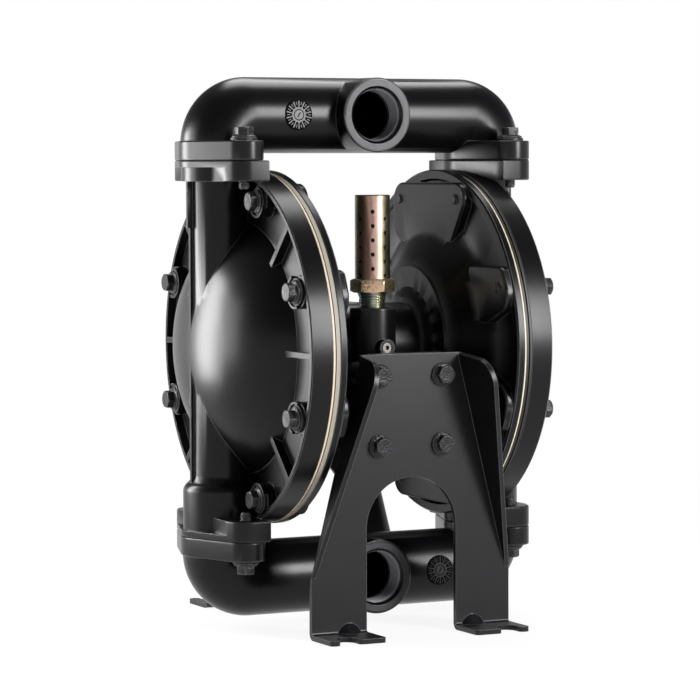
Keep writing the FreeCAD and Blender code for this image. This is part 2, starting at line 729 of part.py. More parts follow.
def rounded_face(shape, x, radius):
    """The shape with the outline of its face at x rounded."""
    return shape.makeFillet(radius, [e for e in shape.Edges if e.BoundBox.XMax < x + TOLERANCE])


def air_cap_pad(corners):
    """Bolt pad on the back of the air cap from (y, height over the rod, rounding) corners."""
    face = polygon_face([Vector(PAD_FACE_X, y, ROD_Z + rise) for y, rise, _ in corners])
    pad = face.extrude(X_AXIS * (AIR_BACK_X + SINK - PAD_FACE_X))
    for y, rise, radius in corners:
        at_corner = [e for e in pad.Edges if runs_along(e, X_AXIS)
                     and abs(e.BoundBox.YMin - y) < TOLERANCE and abs(e.BoundBox.ZMin - ROD_Z - rise) < TOLERANCE]
        pad = pad.makeFillet(radius, at_corner)
    pad = pad.common(along_x(PAD_OUTER_RADIUS, PAD_FACE_X, AIR_BACK_X + SINK))
    return rounded_face(pad, PAD_FACE_X, PAD_EDGE)


def air_cap_pads():
    """Raised pads under the chamber bolts: one above, one below and four at the sides."""
    far_bolt = BOLT_CIRCLE * math.cos(math.pi / CHAMBER_BOLTS)
    outer = far_bolt + PAD_CORNER
    top = air_cap_pad([
        (-TOP_PAD_HALF_WIDTH, TOP_PAD_HIGH, PAD_CORNER),
        (TOP_PAD_HALF_WIDTH, TOP_PAD_HIGH, PAD_CORNER),
        (TOP_PAD_HALF_WIDTH, TOP_PAD_LOW, PAD_CORNER),
        (-TOP_PAD_FOOT, TOP_PAD_LOW, PAD_FOOT_CORNER),
        (-TOP_PAD_HALF_WIDTH, TOP_PAD_SHOULDER, PAD_FOOT_CORNER),
    ])
    side = air_cap_pad([
        (SIDE_PAD_INNER, SIDE_PAD_HIGH, PAD_FOOT_CORNER),
        (outer, SIDE_PAD_HIGH, PAD_CORNER),
        (outer, SIDE_PAD_SHOULDER, PAD_CORNER),
        (SIDE_PAD_FOOT_OUTER, SIDE_PAD_LOW, PAD_FOOT_CORNER),
        (SIDE_PAD_FOOT_INNER, SIDE_PAD_LOW, PAD_FOOT_CORNER),
    ])
    pads = [top, turned_over(top), side, turned_over(side)]
    return pads + [mirrored_y(side), mirrored_y(turned_over(side))]


def hub_screw_spots():
    spots = []
    for k in range(4):
        turn = math.radians(45 + 90 * k)
        spots.append((HUB_SCREW_CIRCLE * math.cos(turn), ROD_Z + HUB_SCREW_CIRCLE * math.sin(turn)))
    return spots


def make_air_cap():
    """Right air cap: clamping flange, bolt pads, bowl and hub."""
    casting = joined([air_cap_shell()] + air_cap_pads())
    cutters = [
        air_chamber(),
        along_x(ROD_RADIUS + DRILL_OVERCUT, NECK_X, AIR_FLOOR_X),
        along_x(PILOT_RADIUS + RUNNING_GAP, NECK_X, AIR_FLOOR_X, 0, PILOT_Z),
    ]
    for y, z in hub_screw_spots():
        cutters.append(along_x(HUB_SCREW_RADIUS + STATIC_GAP, NECK_X, AIR_FLOOR_X, y, z))
        cutters.append(along_x(HUB_SCREW_HEAD_RADIUS + STATIC_GAP, HUB_SCREW_SEAT_X, AIR_FLOOR_X, y, z))
    cutters += chamber_holes(BOLT_RADIUS + THREAD_GAP, PAD_FACE_X, AIR_FACE_X)
    return bared(casting, cutters)


def make_hub_screws():
    seat = HUB_SCREW_SEAT_X
    screws = []
    for y, z in hub_screw_spots():
        head = along_x(HUB_SCREW_HEAD_RADIUS, seat, seat + HUB_SCREW_HEAD, y, z)
        screws.append(joined([head, along_x(HUB_SCREW_RADIUS, seat - HUB_SCREW_LENGTH, seat, y, z)]))
    return Part.makeCompound(screws)


def diaphragm(low_x, thickness, rim_profile):
    """Disc with one arched convolution between plate and clamped rim."""
    high_x = low_x + thickness
    inner = AIR_PLATE_RADIUS + CONVOLUTION_MARGIN
    outer = AIR_MOUTH - 2 * CONVOLUTION_MARGIN
    middle = (inner + outer) / 2

    def at(x, r):
        return Vector(x, 0, ROD_Z + r)

    rim = [at(low_x, outer)] + [at(x, r) for x, r in rim_profile] + [at(high_x, outer)]
    hole = STUD_RADIUS + THREAD_GAP
    edges = [
        arc(at(high_x, outer), at(high_x + CONVOLUTION_RISE, middle), at(high_x, inner)),
        Part.makeLine(at(high_x, inner), at(high_x, hole)),
        Part.makeLine(at(high_x, hole), at(low_x, hole)),
        Part.makeLine(at(low_x, hole), at(low_x, inner)),
        arc(at(low_x, inner), at(low_x + CONVOLUTION_RISE, middle), at(low_x, outer)),
    ]
    edges += [Part.makeLine(a, b) for a, b in zip(rim, rim[1:])]
    solid = Part.Face(Part.Wire(Part.__sortEdges__(edges))).revolve(ROD_CENTRE, X_AXIS, 360)
    return bared(solid, chamber_holes(BOLT_HOLE_RADIUS, low_x, high_x))


def make_ptfe():
    low = FLUID_FACE_X - PTFE_THICKNESS
    return diaphragm(low, PTFE_THICKNESS, [(low, PTFE_RIM), (FLUID_FACE_X, PTFE_RIM)])


def make_backup():
    """Rubber backing, stepped in where it meets the thin front layer."""
    high = AIR_FACE_X + BACKUP_THICKNESS
    step = high - BACKUP_GROOVE
    return diaphragm(AIR_FACE_X, BACKUP_THICKNESS, [
        (AIR_FACE_X, BACKUP_RIM),
        (step, BACKUP_RIM),
        (step, BACKUP_GROOVE_RIM),
        (high, BACKUP_GROOVE_RIM),
    ])


def make_air_plate():
    return turned([
        (AIR_FACE_X, STUD_RADIUS + STATIC_GAP),
        (AIR_FACE_X, AIR_PLATE_RADIUS),
        (AIR_FACE_X - PLATE_EDGE, AIR_PLATE_RADIUS),
        (AIR_PLATE_X, AIR_PLATE_RADIUS - PLATE_EDGE),
        (AIR_PLATE_X, STUD_RADIUS + STATIC_GAP),
    ])


def make_fluid_plate():
    """Dished clamping plate that screws on the end of the rod."""
    stud_end = FLUID_FACE_X + STUD_REACH + STATIC_GAP
    bore = STUD_RADIUS + STATIC_GAP
    face = FLUID_FACE_X + FLUID_PLATE_THICKNESS
    return turned([
        (FLUID_FACE_X, bore),
        (FLUID_FACE_X, FLUID_PLATE_RADIUS),
        (FLUID_FACE_X + PLATE_EDGE, FLUID_PLATE_RADIUS),
        (face, FLUID_PLATE_RADIUS / 2),
        (face, 0),
        (stud_end, 0),
        (stud_end, bore),
    ])


def make_rod():
    end = FLUID_FACE_X + STUD_REACH
    return joined([along_x(ROD_RADIUS, -AIR_PLATE_X, AIR_PLATE_X), along_x(STUD_RADIUS, -end, end)])


def make_bushings():
    outer = ROD_RADIUS + BUSHING_WALL
    sleeve = along_x(outer, BUSHING_START, BUSHING_START + BUSHING_LENGTH)
    sleeve = sleeve.cut(along_x(ROD_RADIUS + RUNNING_GAP, BUSHING_START, BUSHING_START + BUSHING_LENGTH))
    return Part.makeCompound([sleeve, mirrored_x(sleeve)])


def make_rod_seals():
    start = NECK_X - ROD_SEAL_LENGTH
    ring = along_x(ROD_RADIUS + ROD_SEAL_WALL, start, NECK_X)
    ring = ring.cut(along_x(ROD_RADIUS + RUNNING_GAP, start, NECK_X))
    return Part.makeCompound([ring, mirrored_x(ring)])


def make_pilot_rod():
    return along_x(PILOT_RADIUS, -PILOT_HALF_LENGTH, PILOT_HALF_LENGTH, 0, PILOT_Z)


def foot_bolt_spots():
    return [(x, z) for x in (-FOOT_BOLT_X, FOOT_BOLT_X) for z in (FOOT_BOLT_LOW, FOOT_BOLT_HIGH)]


def body_arm():
    """Front arm of the centre body: web, foot pad and tapped bosses."""
    web = rounded_block(-WEB_HALF_WIDTH, WEB_HALF_WIDTH, -PAD_FACE_Y + PAD_THICKNESS / 2, 0,
                        WEB_BOTTOM, WEB_TOP, CHEST_CORNER, Y_AXIS)
    pad = rounded_block(-PAD_HALF_WIDTH, PAD_HALF_WIDTH, -PAD_FACE_Y, -PAD_FACE_Y + PAD_THICKNESS,
                        PAD_BOTTOM, PAD_TOP, CHEST_CORNER, Y_AXIS)
    ends = -PAD_FACE_Y + FOOT_BOSS_LENGTH
    posts = [along_y(FOOT_BOSS_RADIUS, -PAD_FACE_Y + PAD_THICKNESS / 2, ends, x, z) for x, z in foot_bolt_spots()]
    return [web, pad] + posts


def foot_tappings():
    depth = -PAD_FACE_Y + FOOT_BOLT_GRIP + STOP_GAP
    front = [along_y(BOLT_RADIUS + THREAD_GAP, -PAD_FACE_Y, depth, x, z) for x, z in foot_bolt_spots()]
    return front + [mirrored_y(hole) for hole in front]


def cover_screw_spots():
    dy, dz = VALVE_HALF_DEPTH - COVER_SCREW_INSET, VALVE_HALF_HEIGHT - COVER_SCREW_INSET
    return [(VALVE_Y + sy * dy, VALVE_Z + sz * dz) for sy in (-1, 1) for sz in (-1, 1)]


def valve_chest():
    return rounded_block(-VALVE_HALF_WIDTH, VALVE_HALF_WIDTH,
                         VALVE_Y - VALVE_HALF_DEPTH, VALVE_Y + VALVE_HALF_DEPTH,
                         VALVE_Z - VALVE_HALF_HEIGHT, VALVE_Z + VALVE_HALF_HEIGHT, VALVE_CORNER, X_AXIS)


def body_bores():
    """Rod, pilot, valve, exhaust and air inlet bores of the centre body."""
    seal_start = NECK_X - ROD_SEAL_LENGTH
    sleeve_bore = SLEEVE_RADIUS + STATIC_GAP
    thread_floor = EXHAUST_BOSS_TOP - EXHAUST_DEPTH
    mouth = INLET_FACE_Y - INLET_CHAMFER
    bores = [
        along_x(ROD_RADIUS + BUSHING_WALL + STATIC_GAP, -seal_start, seal_start),
        along_x(ROD_RADIUS + ROD_SEAL_WALL + STATIC_GAP, seal_start, NECK_X),
        along_x(ROD_RADIUS + ROD_SEAL_WALL + STATIC_GAP, -NECK_X, -seal_start),
        along_x(PILOT_RADIUS + RUNNING_GAP, -NECK_X, NECK_X, 0, PILOT_Z),
        along_x(sleeve_bore, -VALVE_HALF_WIDTH, VALVE_HALF_WIDTH, VALVE_Y, VALVE_Z),
        along_z(EXHAUST_THREAD_RADIUS + THREAD_GAP, thread_floor, EXHAUST_BOSS_TOP, 0, EXHAUST_Y),
        along_y(AIR_DRILL_RADIUS, EXHAUST_Y, VALVE_Y, 0, EXHAUST_DRILL_Z),
        along_y(INLET_THREAD_RADIUS, mouth - INLET_THREAD_LENGTH, mouth, 0, VALVE_Z),
        along_y(AIR_DRILL_RADIUS, VALVE_Y, mouth, 0, VALVE_Z),
        Part.makeCone(INLET_THREAD_RADIUS, INLET_THREAD_RADIUS + INLET_CHAMFER, INLET_CHAMFER,
                      Vector(0, mouth, VALVE_Z), Y_AXIS),
        along_y(PLUG_RADIUS + STATIC_GAP, -PLUG_BOSS_Y, -PLUG_BOSS_Y + PLUG_LENGTH + PLUG_SINK),
    ]
    screw_reach = HUB_SCREW_LENGTH - (HUB_SCREW_SEAT_X - NECK_X) + STOP_GAP
    for y, z in hub_screw_spots():
        hole = along_x(HUB_SCREW_RADIUS + STATIC_GAP, NECK_X - screw_reach, NECK_X, y, z)
        bores += [hole, mirrored_x(hole)]
    cover_reach = COVER_SCREW_LENGTH - COVER_THICKNESS - GASKET_THICKNESS + STOP_GAP
    for y, z in cover_screw_spots():
        hole = along_x(COVER_SCREW_RADIUS + STATIC_GAP, VALVE_HALF_WIDTH - cover_reach, VALVE_HALF_WIDTH, y, z)
        bores += [hole, mirrored_x(hole)]
    return bores + foot_tappings()


def make_center_body():
    """Centre casting: rod barrel, chest, two arms, exhaust boss, valve chest."""
    arms = body_arm()
    chest = rounded_block(-CHEST_HALF_WIDTH, CHEST_HALF_WIDTH, -CHEST_HALF_DEPTH, CHEST_HALF_DEPTH,
                          CHEST_BOTTOM, ROD_Z, CHEST_CORNER, Z_AXIS)
    boss = along_z(EXHAUST_BOSS_RADIUS, CHEST_BOTTOM + CHEST_CORNER, EXHAUST_BOSS_TOP, 0, EXHAUST_Y)
    pieces = [
        along_x(BARREL_RADIUS, -NECK_X, NECK_X),
        chest,
        boss.makeFillet(EXHAUST_BOSS_EDGE, level_edges(boss, EXHAUST_BOSS_TOP)),
        along_y(PLUG_BOSS_RADIUS, -PLUG_BOSS_Y, 0),
        valve_chest(),
        along_y(INLET_BOSS_RADIUS, VALVE_Y, INLET_FACE_Y, 0, VALVE_Z),
    ]
    pieces += arms + [mirrored_y(piece) for piece in arms]
    return bared(joined(pieces), body_bores())


def make_plug_screw():
    seat = -PLUG_BOSS_Y + PLUG_SINK
    body = along_y(PLUG_RADIUS, seat, seat + PLUG_LENGTH)
    return body.cut(hexagon(PLUG_SOCKET_FLAT, Vector(0, seat, ROD_Z), Y_AXIS, PLUG_SOCKET_DEPTH))


def make_sleeve():
    half = VALVE_HALF_WIDTH
    tube = along_x(SLEEVE_RADIUS, -half, half, VALVE_Y, VALVE_Z)
    bore = along_x(SPOOL_RADIUS + RUNNING_GAP, -half, half, VALVE_Y, VALVE_Z)
    ports = []
    for x in (-2 * SPOOL_LAND, 0, 2 * SPOOL_LAND):
        port = along_z(SLEEVE_PORT_RADIUS, VALVE_Z - SLEEVE_RADIUS, VALVE_Z + SLEEVE_RADIUS, x, VALVE_Y)
        cross = along_y(SLEEVE_PORT_RADIUS, VALVE_Y - SLEEVE_RADIUS, VALVE_Y + SLEEVE_RADIUS, x, VALVE_Z)
        ports += [port, cross]
    return tube.cut([bore] + ports)


def make_spool():
    """Spool with three lands joined by a thinner stem."""
    half = SPOOL_HALF_LENGTH
    stem = along_x(SPOOL_GROOVE_RADIUS, -half, half, VALVE_Y, VALVE_Z)
    land_half = SPOOL_LAND / 2
    centres = (-half + land_half, 0, half - land_half)
    lands = [along_x(SPOOL_RADIUS, c - land_half, c + land_half, VALVE_Y, VALVE_Z) for c in centres]
    return joined([stem] + lands)


def side_plate(x0, x1, inset):
    half_y = VALVE_HALF_DEPTH - inset
    half_z = VALVE_HALF_HEIGHT - inset
    plate = rounded_block(x0, x1, VALVE_Y - half_y, VALVE_Y + half_y, VALVE_Z - half_z, VALVE_Z + half_z,
                          VALVE_CORNER, X_AXIS)
    holes = [along_x(COVER_SCREW_RADIUS + STATIC_GAP, x0, x1, y, z) for y, z in cover_screw_spots()]
    return plate.cut(holes)


def make_valve_cover():
    start = VALVE_HALF_WIDTH + GASKET_THICKNESS
    return side_plate(start, start + COVER_THICKNESS, COVER_EDGE)


def make_valve_gasket():
    plate = side_plate(VALVE_HALF_WIDTH, VALVE_HALF_WIDTH + GASKET_THICKNESS, COVER_EDGE)
    return plate.cut(along_x(SPOOL_RADIUS, VALVE_HALF_WIDTH, VALVE_HALF_WIDTH + GASKET_THICKNESS, VALVE_Y, VALVE_Z))


def make_cover_screws():
    seat = VALVE_HALF_WIDTH + GASKET_THICKNESS + COVER_THICKNESS
    screws = []
    for y, z in cover_screw_spots():
        head = along_x(COVER_SCREW_HEAD_RADIUS, seat, seat + COVER_SCREW_HEAD, y, z)
        screw = joined([head, along_x(COVER_SCREW_RADIUS, seat - COVER_SCREW_LENGTH, seat, y, z)])
        screws += [screw, mirrored_x(screw)]
    return Part.makeCompound(screws)


def make_silencer_fitting():
    """Hexagon nipple between the exhaust boss and the silencer tube."""
    hex_z = EXHAUST_BOSS_TOP + SILENCER_NECK
    foot = EXHAUST_BOSS_TOP - EXHAUST_DEPTH + STOP_GAP
    neck = along_z(EXHAUST_THREAD_RADIUS, foot, hex_z, 0, EXHAUST_Y)
    head = hexagon(SILENCER_HEX_FLAT, Vector(0, EXHAUST_Y, hex_z), Z_AXIS, SILENCER_HEX_HEIGHT,
                   SILENCER_HEX_TURN)
    bore = along_z(SILENCER_BORE, foot, hex_z + SILENCER_HEX_HEIGHT, 0, EXHAUST_Y)
    return joined([neck, head]).cut(bore)


def silencer_holes(z0):
    """Staggered rows of outlet holes round the silencer tube."""
    holes = []
    for row in range(SILENCER_HOLE_ROWS):
        turn = math.radians(SILENCER_HOLE_TURN + 360.0 * row / SILENCER_HOLE_ROWS)
        away = Vector(math.cos(turn), math.sin(turn), 0)
        shift = SILENCER_HOLE_PITCH / 2 * (row % 2)
        for k in range(SILENCER_HOLES):
            z = z0 + SILENCER_LENGTH - SILENCER_FIRST_HOLE - shift - SILENCER_HOLE_PITCH * k
            start = Vector(0, EXHAUST_Y, z) + away * (SILENCER_RADIUS / 2)
            holes.append(Part.makeCylinder(SILENCER_HOLE_RADIUS, SILENCER_RADIUS, start, away))
    return holes


def make_silencer_tube():
    z0 = EXHAUST_BOSS_TOP + SILENCER_NECK + SILENCER_HEX_HEIGHT
    top = z0 + SILENCER_LENGTH
    chamfer = SILENCER_WALL / 2
    tube = turned_upright([
        (0, z0),
        (SILENCER_RADIUS, z0),
        (SILENCER_RADIUS, top - chamfer),
        (SILENCER_RADIUS - chamfer, top),
        (0, top),
    ], 0, EXHAUST_Y)
    inside = along_z(SILENCER_RADIUS - SILENCER_WALL, z0, top - SILENCER_WALL, 0, EXHAUST_Y)
    return tube.cut([inside] + silencer_holes(z0))


def make_silencer_packing():
    z0 = EXHAUST_BOSS_TOP + SILENCER_NECK + SILENCER_HEX_HEIGHT
    z1 = z0 + SILENCER_LENGTH - SILENCER_WALL
    outer = SILENCER_RADIUS - SILENCER_WALL - STOP_GAP
    return along_z(outer, z0, z1, 0, EXHAUST_Y).cut(along_z(outer - PACKING_WALL, z0, z1, 0, EXHAUST_Y))


def make_seat(joint_z, upward):
    """Ball seat ring, its cone facing up, with a groove for its O-ring."""
    top = joint_z
    low = top - SEAT_RING_HEIGHT
    groove = SEAT_SEAL_SECTION
    ring = turned_upright([
        (SEAT_BORE, low),
        (SEAT_RING_RADIUS, low),
        (SEAT_RING_RADIUS, top - groove),
        (SEAT_RING_RADIUS - groove, top - groove),
        (SEAT_RING_RADIUS - groove, top),
        (SEAT_BORE + SEAT_CONE, top),
        (SEAT_BORE, top - SEAT_CONE),
    ], upward * PASSAGE_X, 0)
    return ring


def make_seat_seals(joint_z):
    inner = SEAT_RING_RADIUS - SEAT_SEAL_SECTION + STATIC_GAP
    low = joint_z - SEAT_SEAL_SECTION + STATIC_GAP
    ring = along_z(SEAT_RING_RADIUS, low, joint_z, PASSAGE_X).cut(along_z(inner, low, joint_z, PASSAGE_X))
    return Part.makeCompound([ring, mirrored_x(ring)])


def make_ball(side, height):
    return Part.makeSphere(BALL_RADIUS, Vector(side * PASSAGE_X, 0, height))


def make_chamber_bolts():
    length = CHAMBER_HEAD_X - PAD_FACE_X + BOLT_TIP
    seats = [Vector(CHAMBER_HEAD_X, *chamber_bolt_spot(a)) for a in chamber_bolt_angles()]
    return Part.makeCompound([flange_bolt(seat, X_AXIS * -1, length) for seat in seats])


def make_chamber_washers():
    seats = [Vector(RIM_X, *chamber_bolt_spot(a)) for a in chamber_bolt_angles()]
    return Part.makeCompound([washer(seat, X_AXIS) for seat in seats])


def manifold_bolt_seats(seat_z):
    ys = (-MANIFOLD_BOLT_Y, MANIFOLD_BOLT_Y)
    return [Vector(side * PASSAGE_X, y, seat_z) for side in (-1, 1) for y in ys]


def make_outlet_bolts():
    seat_z = UPPER_JOINT + MANIFOLD_FLANGE + WASHER_THICKNESS
    length = WASHER_THICKNESS + MANIFOLD_FLANGE + CAP_FLANGE + MANIFOLD_BOLT_TIP
    return Part.makeCompound([flange_bolt(seat, Z_AXIS * -1, length) for seat in manifold_bolt_seats(seat_z)])


def make_outlet_washers():
    seats = manifold_bolt_seats(UPPER_JOINT + MANIFOLD_FLANGE)
    return Part.makeCompound([washer(seat, Z_AXIS) for seat in seats])


def make_foot_bolts(side):
    bolts = []
    for x, z in foot_bolt_spots():
        bolts.append(flange_bolt(Vector(x, side * PLATE_OUTER_Y, z), Y_AXIS * -side, FOOT_BOLT_GRIP + SHEET))
    return Part.makeCompound(bolts)


def bracket_plate():
    """Flat front of the bracket: slanted sides, two legs and a round arch."""
    y = -PLATE_OUTER_Y
    outline = [(-BRACKET_TOP_HALF, BRACKET_TOP), (BRACKET_TOP_HALF, BRACKET_TOP), (LEG_OUTER, LEG_KNEE_Z),
               (LEG_OUTER, 0), (-LEG_OUTER, 0), (-LEG_OUTER, LEG_KNEE_Z)]
    plate = polygon_face([Vector(x, y, z) for x, z in outline]).extrude(Y_AXIS * SHEET)
    arch_z = ARCH_TOP - LEG_INNER
    arch = [box(-LEG_INNER, LEG_INNER, y, y + SHEET, 0, arch_z), along_y(LEG_INNER, y, y + SHEET, 0, arch_z)]
    holes = [along_y(BOLT_HOLE_RADIUS, y, y + SHEET, x, z) for x, z in foot_bolt_spots()]
    return plate.cut(arch + holes)


def bracket_gusset():
    """Right side flange, bent forward and flared, fading out at the knee."""
    top = Vector(BRACKET_TOP_HALF, -PAD_FACE_Y, BRACKET_TOP)
    knee = Vector(LEG_OUTER, -PAD_FACE_Y, LEG_KNEE_Z)
    edge = (knee - top).normalize()
    across = edge.cross(Y_AXIS * -1)
    flare = math.radians(GUSSET_FLARE)
    forward = Y_AXIS * -math.cos(flare) - across * math.sin(flare)
    inward = edge.cross(forward) if edge.cross(forward).x < 0 else forward.cross(edge)
    depth = GUSSET_DEPTH + SHEET
    corners = [
        top,
        top + edge * GUSSET_SLOPE + forward * (depth - GUSSET_NOSE_DEPTH),
        top + edge * (GUSSET_SLOPE + GUSSET_NOSE_HEIGHT) + forward * depth,
        knee + forward * SHEET,
        knee,
    ]
    flange = polygon_face(corners).extrude(inward.normalize() * SHEET)
    return flange.cut(box(0, LEG_OUTER, -2 * FOOT_REACH, 0, BRACKET_TOP, BRACKET_TOP + SHEET))


def bracket_foot():
    """Right foot, bent forward, with rounded corners and an open slot."""
    outer_y = -FOOT_REACH
    foot = box(LEG_INNER, LEG_OUTER, outer_y, -PAD_FACE_Y, 0, SHEET)
    slot_end = outer_y + SLOT_DEPTH - SLOT_WIDTH / 2
    slot = [box(SLOT_X - SLOT_WIDTH / 2, SLOT_X + SLOT_WIDTH / 2, outer_y, slot_end, 0, SHEET),
            along_z(SLOT_WIDTH / 2, 0, SHEET, SLOT_X, slot_end)]
    toes = foot.cut(slot)
    corners = [e for e in toes.Edges if runs_along(e, Z_AXIS) and e.BoundBox.YMax < TOLERANCE - FOOT_REACH]
    return toes.makeFillet(FOOT_CORNER, corners)


def bracket_dart():
    """Stiffening dart across the inner side of the right foot's bend."""
    corner = Vector(FOOT_DART_X, -PLATE_OUTER_Y, SHEET)
    out = (Z_AXIS - Y_AXIS).normalize()
    run = (Z_AXIS + Y_AXIS).normalize() * FOOT_DART_REACH
    middle = corner + out * (FOOT_DART_REACH * math.sqrt(0.5) - FOOT_DART_RADIUS)
    ridge = rod_between(FOOT_DART_RADIUS, middle - run, middle + run)
    return ridge.common(box(corner.x - FOOT_DART_RADIUS, corner.x + FOOT_DART_RADIUS, -FOOT_REACH,
                            corner.y + SHEET / 2, SHEET / 2, SHEET + 2 * FOOT_DART_REACH))


def bend_edges(shape, y, z):
    """Edges along X that lie on one line of the foot bend."""
    middles = [(e, e.CenterOfMass) for e in shape.Edges if runs_along(e, X_AXIS)]
    return [e for e, at in middles if abs(at.z - z) < TOLERANCE and abs(at.y - y) < TOLERANCE]


def make_front_bracket():
    side = [bracket_gusset(), bracket_foot()]
    bracket = joined([bracket_plate()] + side + [mirrored_x(piece) for piece in side])
    bent = bracket.makeFillet(BEND_RADIUS, bend_edges(bracket, -PAD_FACE_Y, 0))
    bent = bent.makeFillet(INNER_BEND_RADIUS, bend_edges(bent, -PLATE_OUTER_Y, SHEET))
    dart = bracket_dart()
    return joined([bent, dart, mirrored_x(dart)])


def save(name, shape):
    shape.exportStep("parts/" + name + ".step")
    bounds = shape.BoundBox
    print(name, len(shape.Solids), shape.isValid(), round(shape.Volume),
          round(bounds.XLength, 1), round(bounds.YLength, 1), round(bounds.ZLength, 1))


def save_pair(name, right):
    save("right_" + name, right)
    save("left_" + name, mirrored_x(right))


def main():
    os.makedirs("parts", exist_ok=True)
    save("outlet_manifold", make_manifold(False, True))
    save("inlet_manifold", turned_over(make_manifold(True, False)))
    save_pair("fluid_cap", make_fluid_cap())
    save_pair("air_cap", make_air_cap())
    save_pair("diaphragm", make_ptfe())
    save_pair("backup_diaphragm", make_backup())
    save_pair("air_plate", make_air_plate())
    save_pair("fluid_plate", make_fluid_plate())
    save("diaphragm_rod", make_rod())
    save("rod_bushings", make_bushings())
    save("rod_seals", make_rod_seals())
    save("pilot_rod", make_pilot_rod())
    save_pair("hub_screws", make_hub_screws())
    save("center_body", make_center_body())
    save("plug_screw", make_plug_screw())
    save("valve_sleeve", make_sleeve())
    save("valve_spool", make_spool())
    save_pair("valve_cover", make_valve_cover())
    save_pair("valve_gasket", make_valve_gasket())
    save("valve_cover_screws", make_cover_screws())
    save("silencer_fitting", make_silencer_fitting())
    save("silencer_tube", make_silencer_tube())
    save("silencer_packing", make_silencer_packing())
    for level, joint_z, ball_z in (("inlet", LOWER_JOINT, LOWER_BALL_Z), ("outlet", UPPER_JOINT, UPPER_BALL_Z)):
        for side, sign in (("left", -1), ("right", 1)):
            save(side + "_" + level + "_seat", make_seat(joint_z, sign))
            save(side + "_" + level + "_ball", make_ball(sign, ball_z))
        save(level + "_seat_seals", make_seat_seals(joint_z))
    save_pair("chamber_bolts", make_chamber_bolts())
    save_pair("chamber_washers", make_chamber_washers())
    for name, upper in (("manifold_bolts", make_outlet_bolts()), ("manifold_washers", make_outlet_washers())):
        save("outlet_" + name, upper)
        save("inlet_" + name, turned_over(upper))
    front = make_front_bracket()
    save("front_foot_bracket", front)
    save("rear_foot_bracket", mirrored_y(front))
    save("front_foot_bolts", make_foot_bolts(-1))
    save("rear_foot_bolts", make_foot_bolts(1))


main()
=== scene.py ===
"""Looks of an air-operated double diaphragm pump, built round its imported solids."""

import json
import logging
import math
from dataclasses import dataclass, field, replace
from enum import Enum
from typing import Callable, Dict, Iterable, Optional, Sequence, Tuple, Union

import bpy
from mathutils import Matrix, Vector


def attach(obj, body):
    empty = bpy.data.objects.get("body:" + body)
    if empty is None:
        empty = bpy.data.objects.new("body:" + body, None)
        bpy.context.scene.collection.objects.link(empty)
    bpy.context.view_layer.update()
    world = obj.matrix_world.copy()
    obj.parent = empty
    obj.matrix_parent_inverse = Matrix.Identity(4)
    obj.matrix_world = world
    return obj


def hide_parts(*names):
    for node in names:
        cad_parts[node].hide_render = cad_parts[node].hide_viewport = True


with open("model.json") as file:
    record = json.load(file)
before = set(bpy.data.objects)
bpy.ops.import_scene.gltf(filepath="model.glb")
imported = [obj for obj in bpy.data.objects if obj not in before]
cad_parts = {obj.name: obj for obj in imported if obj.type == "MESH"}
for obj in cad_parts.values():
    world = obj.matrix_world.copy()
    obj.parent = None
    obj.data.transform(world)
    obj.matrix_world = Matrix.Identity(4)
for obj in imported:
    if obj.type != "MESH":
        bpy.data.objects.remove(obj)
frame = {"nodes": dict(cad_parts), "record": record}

LOG = logging.getLogger("pump")
Piece = bpy.types.Object
Pair = Tuple[float, float]
Triple = Tuple[float, float, float]
Colour = Triple
MM = 0.001
ORIGIN = Vector((0, 0, 0))
UP = Vector((0, 0, 1))
ALONG_X = Vector((1, 0, 0))
ALONG_Y = Vector((0, 1, 0))

# Places shared by several sub-assemblies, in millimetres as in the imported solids
ROD_Z = 252.5
OUTLET_Z = 462.0
INLET_Z = 43.0
UPPER_JOINT = 421.3
LOWER_JOINT = 83.7
PASSAGE_X = 134.5
MANIFOLD_FLANGE = 17.5
MANIFOLD_BOLT_Y = 55.0
BOLT_CIRCLE = 143.5
RIM_X = 119.3
WASHER = 2.5


class Cut(Enum):
    """How two solids are combined."""

    AWAY = "DIFFERENCE"
    SHARED = "INTERSECT"


# Shader nodes


class Signal:
    """One output of a shader node; arithmetic on it adds Math nodes."""

    def __init__(self, bench: "NodeBench", socket: bpy.types.NodeSocket) -> None:
        """Keeps the node bench and the socket that it wraps."""
        self.bench = bench
        self.socket = socket

    def _maths(self, operation: str, left: "Value", right: "Value") -> "Signal":
        """One Math node on two values."""
        return self.bench.node("ShaderNodeMath", {"operation": operation}, {0: left, 1: right})

    def __add__(self, other: "Value") -> "Signal":
        """self + other."""
        return self._maths("ADD", self, other)

    def __sub__(self, other: "Value") -> "Signal":
        """self - other."""
        return self._maths("SUBTRACT", self, other)

    def __rsub__(self, other: "Value") -> "Signal":
        """other - self."""
        return self._maths("SUBTRACT", other, self)

    def __mul__(self, other: "Value") -> "Signal":
        """self * other."""
        return self._maths("MULTIPLY", self, other)

    def __gt__(self, other: "Value") -> "Signal":
        """1 where self is greater than other, else 0."""
        return self._maths("GREATER_THAN", self, other)

    def sine(self) -> "Signal":
        """Sine of self."""
        return self._maths("SINE", self, 0.0)

    def clamped(self) -> "Signal":
        """self kept between 0 and 1."""
        return self.bench.node("ShaderNodeClamp", {}, {0: self})

    __radd__ = __add__
    __rmul__ = __mul__


Value = Union[Signal, float, Sequence[float]]


